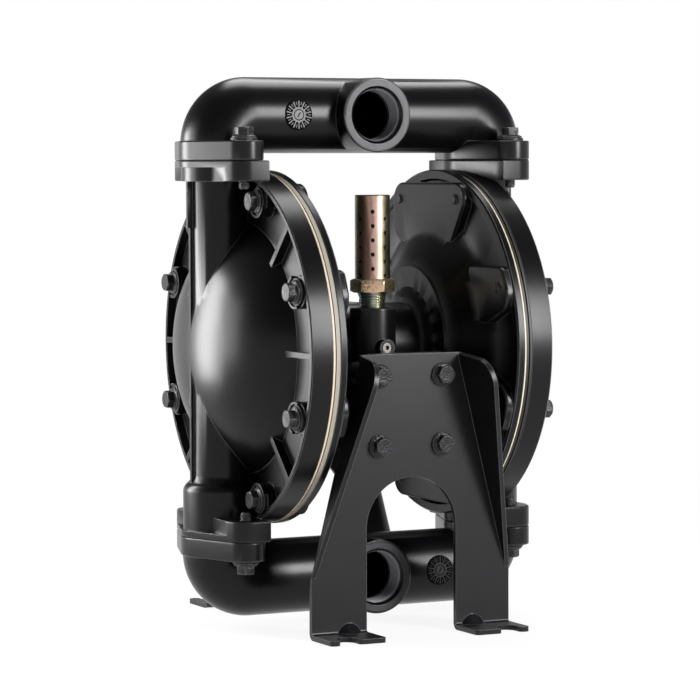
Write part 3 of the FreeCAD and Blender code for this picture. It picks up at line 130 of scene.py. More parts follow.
class NodeBench:
    """Builds the node tree of one material or world."""

    def __init__(self, owner: Union[bpy.types.Material, bpy.types.World], kind: str = "Material") -> None:
        """Starts an empty tree.

        Args:
            owner: the new material or world.
            kind: Material or World, for the output node.
        """
        owner.use_nodes = True
        self.owner = owner
        self.tree = owner.node_tree
        self.tree.nodes.clear()
        self.output = self.tree.nodes.new("ShaderNodeOutput" + kind)

    def node(self, kind: str, settings: Optional[dict] = None, sockets: Optional[dict] = None,
             output: Union[int, str] = 0) -> Signal:
        """Adds any node.

        Args:
            kind: the node's type.
            settings: properties, set first; "stops" gives a colour ramp its stops.
            sockets: values or signals by input name or index.
            output: the output that is returned.

        Returns:
            The chosen output.
        """
        node = self.tree.nodes.new(kind)
        for key, value in (settings or {}).items():
            if key == "stops":
                self._set_stops(node, value)
            else:
                setattr(node, key, value)
        for key, value in (sockets or {}).items():
            if isinstance(value, Signal):
                self.tree.links.new(value.socket, node.inputs[key])
            else:
                node.inputs[key].default_value = value
        return Signal(self, node.outputs[output])

    @staticmethod
    def _set_stops(node: bpy.types.Node, stops: Sequence[Tuple[float, Colour]]) -> None:
        """Gives a colour ramp its stops.

        Args:
            node: the ramp.
            stops: place and colour of each.
        """
        while len(node.color_ramp.elements) < len(stops):
            node.color_ramp.elements.new(1.0)
        for element, (place, colour) in zip(node.color_ramp.elements, stops):
            element.position = place
            element.color = (*colour, 1.0)

    def place(self) -> Signal:
        """The surface's own coordinates, in metres."""
        return self.node("ShaderNodeTexCoord", output="Object")

    def noise(self, place: Signal, scale: float, detail: float = 3.0) -> Signal:
        """Noise from about 0 to 1, with a number of features per metre and of octaves."""
        return self.node("ShaderNodeTexNoise", {}, {"Vector": place, "Scale": scale, "Detail": detail})

    def vectors(self, operation: str, first: Value, second: Value = (0.0, 0.0, 0.0),
                output: Union[int, str] = 0) -> Signal:
        """One Vector Math node; most operations take two vectors."""
        return self.node("ShaderNodeVectorMath", {"operation": operation}, {0: first, 1: second}, output)

    def away_from(self, centre: Sequence[float], place: Signal) -> Signal:
        """Offset of a place, in metres, from a centre given in millimetres."""
        return self.vectors("SUBTRACT", place, tuple(c * MM for c in centre))

    def radius(self, place: Signal, centre: Sequence[float], axis: Sequence[float]) -> Signal:
        """Distance from the axis through a centre given in millimetres."""
        across = self.vectors("CROSS_PRODUCT", self.away_from(centre, place), axis)
        return self.vectors("LENGTH", across, output="Value")

    def blend(self, factor: Value, first: Value, second: Value) -> Signal:
        """Mixes two colours.

        Args:
            factor: 0 gives the first, 1 the second.
            first: a colour.
            second: a colour.

        Returns:
            The mixed colour.
        """
        sides = {6: first, 7: second}
        filled = {k: v if isinstance(v, Signal) else (*v, 1.0) for k, v in sides.items()}
        return self.node("ShaderNodeMix", {"data_type": "RGBA"}, {0: factor, **filled}, 2)

    def finish(self, shader: Signal) -> Union[bpy.types.Material, bpy.types.World]:
        """Links the shader to the output and returns the material or world."""
        self.tree.links.new(shader.socket, self.output.inputs["Surface"])
        return self.owner


# Finishes

# How fast the mask of the painted edge highlight fills as the rounded normal turns away from the true one
EDGE_GAIN = 14.0


@dataclass(frozen=True)
class Finish:
    """A plain finish with patches, fine grain and softened edges, along which a lighter tone paints a
    highlight.

    Scales are features per metre; the grain's height and the edge radius are in millimetres.
    """

    name: str
    tone: Colour = (0.0, 0.0, 0.0)
    shade: Colour = (0.0, 0.0, 0.0)
    roughness: float = 0.5
    swing: float = 0.08
    patch_scale: float = 25.0
    grain_scale: float = 900.0
    grain_height: float = 0.03
    metallic: float = 0.0
    specular: float = 0.5
    edge_radius: float = 0.0
    # Lighter tone along the edges, a painted highlight; its share of the blend follows
    edge_highlight_tone: Optional[Colour] = None
    edge_highlight_share: float = 0.35

    def colour(self, bench: NodeBench, place: Signal) -> Signal:
        """Base colour: two tones mixed in soft patches."""
        patches = bench.noise(place, self.patch_scale)
        return bench.blend(patches, self.tone, self.shade)

    def height(self, bench: NodeBench, place: Signal) -> Signal:
        """Relief of the grain, in units of the bump's distance."""
        return bench.noise(place, self.grain_scale, 2.0)

    def rough(self, bench: NodeBench, place: Signal) -> Signal:
        """Roughness with a slow swing."""
        return bench.noise(place, self.patch_scale * 3) * (2 * self.swing) + (self.roughness - self.swing)

    def edges(self, bench: NodeBench, rounded: Signal) -> Signal:
        """Mask of the painted edge highlight: where the rounded normal leaves the true one.

        Args:
            bench: the material's node bench.
            rounded: the rounded normal.

        Returns:
            The mask, up to the edges' share of the blend.
        """
        true_normal = bench.node("ShaderNodeNewGeometry", output="True Normal")
        likeness = bench.vectors("DOT_PRODUCT", rounded, true_normal, "Value")
        return ((1.0 - likeness) * EDGE_GAIN).clamped() * self.edge_highlight_share

    def build(self) -> bpy.types.Material:
        """Makes the material.

        Returns:
            The material.
        """
        bench = NodeBench(bpy.data.materials.new(self.name))
        place = bench.place()
        colour = self.colour(bench, place)
        bump = {"Height": self.height(bench, place), "Strength": 1.0, "Distance": self.grain_height * MM}
        if self.edge_radius:
            rounded = bench.node("ShaderNodeBevel", {"samples": 4}, {"Radius": self.edge_radius * MM})
            bump["Normal"] = rounded
            # Painted highlight: the edges take the lighter edge tone
            if self.edge_highlight_tone:
                colour = bench.blend(self.edges(bench, rounded), colour, self.edge_highlight_tone)
        shader = bench.node("ShaderNodeBsdfPrincipled", {}, {
            "Base Color": colour,
            "Roughness": self.rough(bench, place),
            "Metallic": self.metallic,
            "Specular IOR Level": self.specular,
            "Normal": bench.node("ShaderNodeBump", {}, bump),
        })
        return bench.finish(shader)


@dataclass(frozen=True)
class Turned(Finish):
    """Bare metal with fine tool marks round an axis, in millimetres."""

    axis: Triple = (0.0, 1.0, 0.0)
    centre: Triple = (0.0, 0.0, 0.0)
    mark_pitch: float = 0.35
    mark_share: float = 0.5
    grain_share: float = 0.6

    def height(self, bench: NodeBench, place: Signal) -> Signal:
        """Rings round the axis over a faint grain."""
        turns = bench.radius(place, self.centre, self.axis) * (2 * math.pi / (self.mark_pitch * MM))
        return turns.sine() * self.mark_share + super().height(bench, place) * self.grain_share


@dataclass(frozen=True)
class Grooved(Finish):
    """Rubber rim round the rod's axis: a groove tone below its crest that paints the shade in the groove,
    and near-black painted shade beyond a seam.

    Crest and seam are a radius and a place along x, in millimetres.
    """

    crest: float = 158.9
    seam: float = 92.7
    # Painted shade in the groove below the crest
    groove_shade_tone: Colour = (0.045, 0.032, 0.022)
    # Painted shade beyond the seam along x
    seam_shade_tone: Colour = (0.006, 0.005, 0.004)

    def colour(self, bench: NodeBench, place: Signal) -> Signal:
        """Patches on the crest, the groove's painted shade below it, the seam's painted shade beyond the
        seam.

        Args:
            bench: the material's node bench.
            place: the surface's coordinates.

        Returns:
            The colour.
        """
        radius = bench.radius(place, (0.0, 0.0, ROD_Z), ALONG_X)
        depth = bench.node("ShaderNodeSeparateXYZ", {}, {0: place}, "X")
        rim = bench.blend(radius > self.crest * MM, self.groove_shade_tone, super().colour(bench, place))
        return bench.blend(depth > self.seam * MM, rim, self.seam_shade_tone)


@dataclass(frozen=True)
class Plated(Finish):
    """Chromated zinc, whose own tints drift with a noise, with painted highlights and reflections running
    across it from left to right as the camera sees it.

    The sheen span is the radius over which the painted sheen runs across, in millimetres; 0 leaves it out.
    """

    # Ramp stops: the plating's tints, with light and dark bands that paint highlights, reflections and
    # shade
    tints_and_sheen: Tuple[Tuple[float, Colour], ...] = ()
    tint_scale: float = 45.0
    drift: float = 2.2
    sheen_span: float = 0.0
    # Axis of the painted sheen, in millimetres, and the camera's left-to-right direction that it runs
    # along
    sheen_axis: Triple = (0.0, -40.0, 0.0)
    sheen_view_across: Triple = (0.895, -0.446, 0.0)

    def colour(self, bench: NodeBench, place: Signal) -> Signal:
        """Tints that follow a soft noise, plus painted highlights and reflections across the part as the
        camera sees it.

        Args:
            bench: the material's node bench.
            place: the surface's coordinates.

        Returns:
            The colour.
        """
        tint = (bench.noise(place, self.tint_scale, 4.0) - 0.5) * self.drift + 0.5
        # Painted sheen: the ramp's place moves across the part from left to right in the camera's view
        if self.sheen_span:
            across = bench.vectors("DOT_PRODUCT", bench.away_from(self.sheen_axis, place), self.sheen_view_across,
                                   "Value")
            tint = tint + across * (0.5 / (self.sheen_span * MM))
        return bench.node("ShaderNodeValToRGB", {"stops": self.tints_and_sheen}, {0: tint})


# Every edge highlight tone below is a lighter colour painted along edges: a painted highlight
CASTING = Finish(
    "satin_black_casting", (0.0014, 0.0014, 0.0018), (0.003, 0.003, 0.0036), roughness=0.285,
    swing=0.02, patch_scale=16.0, grain_scale=650.0, grain_height=0.012, specular=0.22, edge_radius=1.0,
    edge_highlight_tone=(0.17, 0.17, 0.175), edge_highlight_share=0.7)
# Upper dial faces: a light grey that paints the highlight these raised faces catch
DIAL = Finish(
    "painted_highlight_dial_faces", (0.11, 0.11, 0.113), (0.19, 0.19, 0.195), swing=0.04, patch_scale=90.0,
    specular=0.3, edge_radius=0.25, edge_highlight_tone=(0.3, 0.3, 0.31), edge_highlight_share=0.5)
# The same faces near the casting's black for the lower dial; the light grey above is painted highlight
DULL_DIAL = replace(
    DIAL, name="painted_dial_faces", tone=(0.008, 0.008, 0.009), shade=(0.018, 0.018, 0.019),
    roughness=0.45, specular=0.22, edge_highlight_tone=(0.12, 0.12, 0.125))
# Dial floor: a black darker than the casting's, painted shade in the recess
RECESS = Finish(
    "shaded_dial_recess", (0.0008, 0.0008, 0.001), (0.0015, 0.0015, 0.0018), roughness=0.7, swing=0.02,
    patch_scale=60.0, grain_height=0.02, specular=0.05)
POWDER = Finish(
    "black_powder_coat", (0.0035, 0.0035, 0.0046), (0.0055, 0.0055, 0.007), roughness=0.33, swing=0.02,
    patch_scale=20.0, grain_scale=1100.0, grain_height=0.012, specular=0.31, edge_radius=0.9,
    edge_highlight_tone=(0.26, 0.26, 0.27), edge_highlight_share=0.38)
OXIDE = Finish(
    "black_oxide_steel", (0.005, 0.005, 0.006), (0.026, 0.026, 0.028), roughness=0.33, swing=0.14,
    patch_scale=520.0, grain_scale=520.0, grain_height=0.5, metallic=0.2, specular=0.18,
    edge_radius=0.4, edge_highlight_tone=(0.26, 0.26, 0.265), edge_highlight_share=0.6)
# Tube: the pink, cream and olive bands across it are painted reflections and highlight; the noise tints
# are the plating's own
ZINC = Plated(
    "yellow_zinc_plate", roughness=0.35, swing=0.05, grain_scale=1800.0, grain_height=0.01,
    metallic=0.95, edge_radius=0.3, edge_highlight_tone=(0.70, 0.60, 0.45), edge_highlight_share=0.4, drift=0.5, sheen_span=16.2,
    tints_and_sheen=((0.0, (0.13, 0.135, 0.07)), (0.14, (0.24, 0.22, 0.13)), (0.28, (0.40, 0.27, 0.19)),
           (0.40, (0.44, 0.25, 0.20)), (0.50, (0.30, 0.19, 0.15)), (0.57, (0.50, 0.33, 0.28)),
           (0.68, (0.36, 0.28, 0.22)), (0.80, (0.24, 0.215, 0.145)), (0.90, (0.15, 0.135, 0.08)),
           (1.0, (0.10, 0.09, 0.05))))
# Hexagon: the bright band across its middle and its dark sides are painted highlight and shade; the fine
# speckle is the plating's own
HEX_ZINC = Plated(
    "speckled_zinc_hexagon", roughness=0.30, grain_scale=600.0, grain_height=0.25, metallic=0.95,
    edge_radius=0.7, edge_highlight_tone=(0.95, 0.80, 0.60), edge_highlight_share=1.0, tint_scale=650.0, drift=1.5,
    sheen_span=22.0,
    tints_and_sheen=((0.0, (0.09, 0.08, 0.035)), (0.25, (0.17, 0.13, 0.06)),
           (0.42, (0.50, 0.33, 0.20)), (0.6, (0.68, 0.42, 0.32)), (0.8, (0.60, 0.48, 0.28)),
           (1.0, (0.22, 0.20, 0.08))))
# Thread: the lighter band across its middle is painted highlight
THREAD_ZINC = Plated(
    "zinc_thread", roughness=0.28, swing=0.07, grain_scale=2400.0, grain_height=0.01, metallic=0.95,
    edge_radius=0.15, edge_highlight_tone=(0.85, 0.90, 0.80), edge_highlight_share=0.8, drift=0.5, sheen_span=13.3,
    tints_and_sheen=((0.0, (0.14, 0.17, 0.14)), (0.35, (0.30, 0.36, 0.32)), (0.5, (0.42, 0.43, 0.34)),
           (0.65, (0.26, 0.25, 0.13)), (1.0, (0.12, 0.12, 0.06))))
MACHINED = Turned(
    "machined_port_face", (0.055, 0.055, 0.058), (0.042, 0.042, 0.045), roughness=0.45, swing=0.05,
    patch_scale=60.0, grain_scale=1800.0, grain_height=0.012, metallic=0.5, specular=0.25)
PORT_THREAD = Finish(
    "cut_port_thread", (0.16, 0.16, 0.17), (0.10, 0.10, 0.11), roughness=0.42, patch_scale=120.0,
    grain_scale=1500.0, grain_height=0.02, metallic=0.5, edge_radius=0.2, edge_highlight_tone=(0.22, 0.22, 0.23))
BRIGHT = Finish(
    "bright_steel", (0.60, 0.60, 0.61), (0.50, 0.50, 0.51), roughness=0.26, swing=0.06,
    patch_scale=120.0, grain_scale=2400.0, grain_height=0.01, metallic=0.95, edge_radius=0.15)
FRONT_SHEET = Finish(
    "cream_diaphragm_sheet", (0.58, 0.48, 0.35), (0.50, 0.41, 0.29), swing=0.05, patch_scale=60.0,
    grain_height=0.02)
# Dark brown copy of the cream sheet for the right diaphragm: painted shade where its edge lies in shadow
SHADED_SHEET = replace(
    FRONT_SHEET, name="painted_shade_diaphragm_sheet", tone=(0.02, 0.014, 0.009), shade=(0.012, 0.009, 0.006))
# Left backing: the dark groove tone below its crest is painted shade
BACKING = Grooved(
    "grey_backing_rubber", (0.31, 0.28, 0.23), (0.25, 0.225, 0.185), roughness=0.55, swing=0.06,
    patch_scale=50.0, grain_scale=1500.0)
# Cream copy for the right chamber: its groove tone is left light, and past the seam it keeps the
# near-black painted shade
RIGHT_BACKING = replace(
    BACKING, name="cream_backing_rubber", tone=(0.60, 0.50, 0.37), shade=(0.50, 0.42, 0.30),
    roughness=0.5, swing=0.05, groove_shade_tone=(0.5, 0.42, 0.32))
PLUG = Finish(
    "dull_plug_steel", (0.20, 0.165, 0.155), (0.13, 0.11, 0.105), roughness=0.42, patch_scale=300.0,
    grain_scale=1500.0, metallic=0.7, edge_radius=0.3, edge_highlight_tone=(0.5, 0.46, 0.45), edge_highlight_share=0.6)
RUBBER = Finish(
    "black_moulded_rubber", (0.025, 0.025, 0.027), (0.04, 0.04, 0.042), roughness=0.55,
    patch_scale=80.0, grain_scale=1800.0, grain_height=0.02)
BRONZE = Finish(
    "sintered_bronze", (0.50, 0.33, 0.15), (0.42, 0.28, 0.13), roughness=0.42, patch_scale=120.0,
    grain_scale=3000.0, metallic=0.9)
# Packing seen through the tube's holes, darkened to a dark brown as painted shade inside them
SHADED_FELT = Finish(
    "packing_felt", (0.035, 0.018, 0.014), (0.02, 0.012, 0.01), roughness=0.9, patch_scale=400.0,
    grain_scale=2500.0, grain_height=0.2, specular=0.2)

NODE_FINISHES: Dict[str, Finish] = {
    "right_diaphragm": SHADED_SHEET, "right_backup_diaphragm": RIGHT_BACKING, "plug_screw": PLUG,
}
SLOT_FINISHES: Dict[str, Finish] = {
    "casting_black": CASTING, "bracket_black": POWDER, "bolt_black": OXIDE, "diaphragm_front": FRONT_SHEET,
    "backing_rubber": BACKING, "zinc_yellow": ZINC, "steel_bright": BRIGHT, "ball_rubber": RUBBER,
    "seat_steel": BRIGHT, "bronze": BRONZE, "seal_rubber": RUBBER, "packing_felt": SHADED_FELT,
}


class Palette:
    """Makes each finish once and hands out its material."""

    def __init__(self) -> None:
        """Starts with nothing made."""
        self._made: Dict[str, bpy.types.Material] = {}

    def of(self, finish: Finish) -> bpy.types.Material:
        """The material of a finish, made at its first use.

        Args:
            finish: the finish.

        Returns:
            Its material.
        """
        if finish.name not in self._made:
            self._made[finish.name] = finish.build()
        return self._made[finish.name]


PALETTE = Palette()


# Modelling by operators

# An operator with its keyword arguments
Step = Tuple[Callable, dict]
# Corners nearer than these are one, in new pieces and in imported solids
TOUCHING = MM * 0.001
LOOSE = MM * 0.005
# How far a thread ridge reaches into its core, in millimetres
OVERLAP = 0.05
EVERYTHING: Step = (bpy.ops.mesh.select_all, {"action": "SELECT"})
DOUBLES: Step = (bpy.ops.mesh.remove_doubles, {"threshold": TOUCHING})
OUTWARD: Step = (bpy.ops.mesh.normals_make_consistent, {"inside": False})


def only(*pieces: Piece) -> None:
    """Selects pieces alone.

    Args:
        pieces: the pieces; the first becomes the active one.
    """
    bpy.ops.object.select_all(action="DESELECT")
    for piece in pieces:
        piece.select_set(True)
    bpy.context.view_layer.objects.active = pieces[0]


def current(name: str) -> Piece:
    """Names the piece that an operator has just made.

    Args:
        name: the name.

    Returns:
        The piece.
    """
    piece = bpy.context.view_layer.objects.active
    piece.name = piece.data.name = name
    return piece


def in_edit_mode(piece: Piece, *steps: Step) -> Piece:
    """Runs operators on the whole of a piece in edit mode.

    Args:
        piece: the piece.
        steps: the operators, in order.

    Returns:
        The piece.
    """
    only(piece)
    bpy.ops.object.mode_set(mode="EDIT")
    bpy.ops.mesh.select_all(action="SELECT")
    for operator, words in steps:
        operator(**words)
    bpy.ops.object.mode_set(mode="OBJECT")
    return piece


def traced(name: str, points: Sequence[Vector]) -> Piece:
    """Draws a closed line through points by extruding one vertex.

    Args:
        name: the piece's name.
        points: the corners, in metres.

    Returns:
        The line.
    """
    bpy.ops.object.select_all(action="DESELECT")
    bpy.ops.mesh.primitive_circle_add(vertices=3, radius=MM, location=points[0])
    line = current(name)
    bpy.ops.object.transform_apply()
    bpy.ops.object.mode_set(mode="EDIT")
    bpy.ops.mesh.select_all(action="SELECT")
    bpy.ops.mesh.merge(type="CENTER")
    for before, after in zip(points, points[1:]):
        bpy.ops.mesh.extrude_region_move(TRANSFORM_OT_translate={"value": after - before})
    bpy.ops.mesh.extrude_region_move(TRANSFORM_OT_translate={"value": points[0] - points[-1]})
    bpy.ops.mesh.select_all(action="SELECT")
    bpy.ops.mesh.remove_doubles(threshold=TOUCHING)
    bpy.ops.object.mode_set(mode="OBJECT")
    return line


def lathe(name: str, profile: Sequence[Pair], base: Vector, axis: Vector, steps: int = 48) -> Piece:
    """Spins a closed profile once round an axis.

    Args:
        name: the piece's name.
        profile: (radius, height along the axis) corners, in millimetres.
        base: where the height is zero, in millimetres.
        axis: direction of the height.
        steps: segments round the turn.

    Returns:
        The turned piece.
    """
    across = UP if abs(axis.z) < 0.5 else ALONG_X
    points = [(base + across * r + axis * h) * MM for r, h in profile]
    turn = (bpy.ops.mesh.spin, {"steps": steps, "dupli": False, "angle": 2 * math.pi,
                                "center": base * MM, "axis": axis})
    return in_edit_mode(traced(name, points), turn, EVERYTHING, DOUBLES, OUTWARD)


def prism(name: str, outline: Sequence[Vector], rise: Vector) -> Piece:
    """Fills an outline and extrudes it.

    Args:
        name: the piece's name.
        outline: the corners, in millimetres.
        rise: the extrusion, in millimetres.

    Returns:
        The prism.
    """
    fill = (bpy.ops.mesh.edge_face_add, {})
    lift = (bpy.ops.mesh.extrude_region_move, {"TRANSFORM_OT_translate": {"value": rise * MM}})
    return in_edit_mode(traced(name, [p * MM for p in outline]), fill, lift, EVERYTHING, OUTWARD)


def modified(piece: Piece, kind: str, **settings: Union[float, str, Piece]) -> Piece:
    """Applies one modifier to a piece.

    Args:
        piece: the piece.
        kind: the modifier's type.
        settings: its properties.

    Returns:
        The piece.
    """
    only(piece)
    step = piece.modifiers.new(kind.lower(), kind)
    for key, value in settings.items():
        setattr(step, key, value)
    bpy.ops.object.modifier_apply(modifier=step.name)
    return piece


def combined(target: Piece, tool: Piece, how: Cut) -> Piece:
    """Combines two solids and removes the tool.

    Args:
        target: the solid that stays.
        tool: the solid that is used up.
        how: the tool is cut away, or only what both share is kept.

    Returns:
        The target.
    """
    modified(target, "BOOLEAN", operation=how.value, object=tool, solver="EXACT")
    bpy.data.objects.remove(tool)
    return target


def eased(piece: Piece, width: float, angle: float, segments: int = 2) -> Piece:
    """Rounds the edges sharper than an angle, in degrees, by a width in millimetres."""
    return modified(piece, "BEVEL", width=width * MM, segments=segments, limit_method="ANGLE",
                    angle_limit=math.radians(angle))


def rounded_where(piece: Piece, wanted: Callable[[Vector, Vector], bool], width: float,
                  segments: int) -> None:
    """Rounds chosen edges of a piece.

    Args:
        piece: the piece.
        wanted: tells from the two ends of an edge, in millimetres, whether it is rounded.
        width: width of the rounding, in millimetres.
        segments: faces across it.
    """
    only(piece)
    bpy.context.tool_settings.mesh_select_mode = (False, True, False)
    for part in (piece.data.vertices, piece.data.polygons, piece.data.edges):
        part.foreach_set("select", [False] * len(part))
    for line in piece.data.edges:
        line.select = wanted(*(piece.data.vertices[k].co / MM for k in line.vertices))
    bpy.ops.object.mode_set(mode="EDIT")
    bpy.ops.mesh.bevel(offset=width * MM, segments=segments, affect="EDGES")
    bpy.ops.object.mode_set(mode="OBJECT")
    bpy.context.tool_settings.mesh_select_mode = (True, False, False)


def hexagonal(name: str, corner: float, y: float, low: float, height: float, turn: float = 0.0) -> Piece:
    """Starts an upright six-sided block over x = 0, in millimetres.

    Args:
        name: the block's name.
        corner: radius to its corners.
        y: place of its axis.
        low: height of its lower face.
        height: its height.
        turn: turn about its own axis, in degrees.

    Returns:
        The block.
    """
    bpy.ops.object.select_all(action="DESELECT")
    bpy.ops.mesh.primitive_cylinder_add(vertices=6, radius=corner * MM, depth=height * MM,
                                        location=(0, y * MM, (low + height / 2) * MM),
                                        rotation=(0, 0, math.radians(turn)))
    block = current(name)
    bpy.ops.object.transform_apply()
    return block


def joined(name: str, pieces: Sequence[Piece]) -> Piece:
    """Joins pieces into one object.

    Args:
        name: the joined object's name.
        pieces: the pieces, the first of which takes up the others.

    Returns:
        The joined object.
    """
    only(*pieces)
    bpy.ops.object.join()
    return current(name)


def copied(piece: Piece, move: Matrix) -> Piece:
    """Copies a piece with its own mesh and puts the copy in place.

    Args:
        piece: the piece to copy.
        move: the copy's place.

    Returns:
        The copy.
    """
    only(piece)
    bpy.ops.object.duplicate()
    copy = bpy.context.view_layer.objects.active
    copy.matrix_world = move @ piece.matrix_world
    bpy.ops.object.transform_apply()
    return copy


def settled(piece: Piece, finish: Finish, replaces: Iterable[str] = (), angle: float = 35.0,
            weighted: bool = False) -> Piece:
    """Finishes a piece: place in its mesh, smooth shading, material and body (the casing).

    Args:
        piece: the piece.
        finish: its finish.
        replaces: the solids it stands for.
        angle: edges flatter than this are shaded smooth, in degrees.
        weighted: whether large faces keep their own shading beside rounded edges.

    Returns:
        The piece.
    """
    only(piece)
    bpy.ops.object.transform_apply()
    bpy.ops.object.shade_smooth_by_angle(angle=math.radians(angle))
    if weighted:
        modified(piece, "WEIGHTED_NORMAL", keep_sharp=True)
    piece.data.materials.clear()
    piece.data.materials.append(PALETTE.of(finish))
    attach(piece, "casing")
    if replaces:
        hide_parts(*replaces)
    LOG.info("%s: %d faces", piece.name, len(piece.data.polygons))
    return piece


def casting_copy(node: str, name: str) -> Piece:
    """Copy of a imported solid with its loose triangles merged.

    Args:
        node: the solid's name.
        name: the copy's name.

    Returns:
        The copy.
    """
    mesh = frame["nodes"][node].data.copy()
    piece = bpy.data.objects.new(name, mesh)
    bpy.context.scene.collection.objects.link(piece)
    only(piece)
    bpy.ops.mesh.customdata_custom_splitnormals_clear()
    return in_edit_mode(piece, (bpy.ops.mesh.remove_doubles, {"threshold": LOOSE}))


# Sub-assemblies


@dataclass
class Castings:
    """The painted castings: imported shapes, merged and shaded smooth."""

    nodes: Tuple[str, ...] = ("outlet_manifold", "inlet_manifold", "left_fluid_cap",
                              "right_fluid_cap", "left_air_cap", "right_air_cap", "center_body",
                              "left_valve_cover", "right_valve_cover")

    def build(self) -> None:
        """Copies and dresses every casting."""
        for node in self.nodes:
            settled(casting_copy(node, node + "_casting"), CASTING, (node,))


@dataclass
class HelixThread:
    """A helical thread ridge with a flat crest, closed at both ends.

    Root, crest and pitch are in millimetres; the lands are shares of the pitch.
    """

    root: float
    crest: float
    pitch: float
    turns: int
    steps: int
    root_land: float = 0.85
    crest_land: float = 0.16

    def build(self, name: str, start: Vector, axis: Vector) -> Piece:
        """Models the ridge.

        Args:
            name: the piece's name.
            start: where it starts on the axis, in millimetres.
            axis: direction that it climbs in.

        Returns:
            The ridge.
        """
        across = UP if abs(axis.z) < 0.5 else ALONG_X
        wide, narrow = self.root_land * self.pitch / 2, self.crest_land * self.pitch / 2
        middle = self.pitch / 2
        corners = [(self.root, middle - wide), (self.root, middle + wide),
                   (self.crest, middle + narrow), (self.crest, middle - narrow)]
        ridge = traced(name, [(start + across * r + axis * h) * MM for r, h in corners])
        basis = Matrix((across, axis.cross(across), axis)).transposed().to_4x4()
        place = Matrix.Translation(start * MM) @ basis
        ridge.data.transform(place.inverted())
        modified(ridge, "SCREW", angle=2 * math.pi, screw_offset=self.pitch * MM, iterations=self.turns,
                 steps=self.steps, render_steps=self.steps, use_merge_vertices=False)
        ridge.matrix_world = place
        bpy.ops.object.transform_apply()
        ends = (bpy.ops.mesh.fill_holes, {"sides": len(corners)})
        return in_edit_mode(ridge, DOUBLES, ends, EVERYTHING, OUTWARD)


@dataclass
class FlangeBolt:
    """Hexagon flange bolt, seat at the origin and head towards +Z, in millimetres.

    The crown's three numbers are distances in from the flats: its edge, where the dish starts and
    where its floor starts.
    """

    across_flats: float = 15.0
    head_height: float = 9.6
    hexagon_start: float = 0.5
    corner_drop: float = 1.9
    crown: Triple = (0.2, 1.8, 3.0)
    dish: float = 0.12
    rounding: float = 0.35
    rounded_from: float = 25.0
    collar_radius: float = 10.9
    collar_edge: float = 1.3
    collar_lip: float = 0.3
    cone_start: float = 1.7
    cone_slope: float = 0.45
    cone_steps: Pair = (0.4, 0.2)
    shank_radius: float = 4.95
    core_radius: float = 4.15
    pitch: float = 1.5
    threaded: float = 14.0
    runout: float = 0.8
    point: float = 0.9
    thread_gap: float = 0.6

    def head(self, name: str) -> Piece:
        """Hexagon with a rounded, slightly dished top over a conical collar.

        Args:
            name: the piece's name.

        Returns:
            The head.
        """
        corner, flat = self.across_flats / math.sqrt(3), self.across_flats / 2
        top, low = self.head_height, self.hexagon_start
        hexagon = hexagonal(name, corner, 0.0, low, top - low)
        edge, start, floor = (flat - inward for inward in self.crown)
        wide, bottom = corner + 1, top - self.dish
        crown = lathe("crown", [(0, 0), (wide, 0), (wide, top - self.corner_drop), (edge, top),
                                (start, top), (floor, bottom), (0, bottom)], ORIGIN, UP)
        eased(combined(hexagon, crown, Cut.SHARED), self.rounding, self.rounded_from)
        rim, lip, (outer, inner) = self.collar_radius, self.collar_lip, self.cone_steps
        peak = self.cone_start + (rim - flat - outer - inner) * self.cone_slope
        collar = lathe("collar", [(0, 0), (rim - lip, 0), (rim, lip), (rim, self.collar_edge),
                                  (rim - outer, self.cone_start), (flat + inner, peak), (0, peak)],
                       ORIGIN, UP)
        return joined(name, [hexagon, collar])

    def build(self, name: str, length: float) -> Piece:
        """Models the whole bolt.

        Args:
            name: the piece's name.
            length: length under the head, in millimetres.

        Returns:
            The bolt.
        """
        plain = max(length - self.threaded, 1.0)
        full, core, sunk, steps = self.shank_radius, self.core_radius, 0.2, 24
        shank = lathe("shank", [(0, sunk), (full, sunk), (full, -plain), (core, -plain - self.runout),
                                (core, -length + self.point), (core - self.point, -length), (0, -length)],
                      ORIGIN, UP, steps)
        turns = int((length - plain - 2 * self.thread_gap) / self.pitch)
        thread = HelixThread(core - OVERLAP, full, self.pitch, turns, steps)
        ridge = thread.build("ridge", Vector((0, 0, -length + self.thread_gap)), UP)
        return joined(name, [self.head(name), shank, ridge])


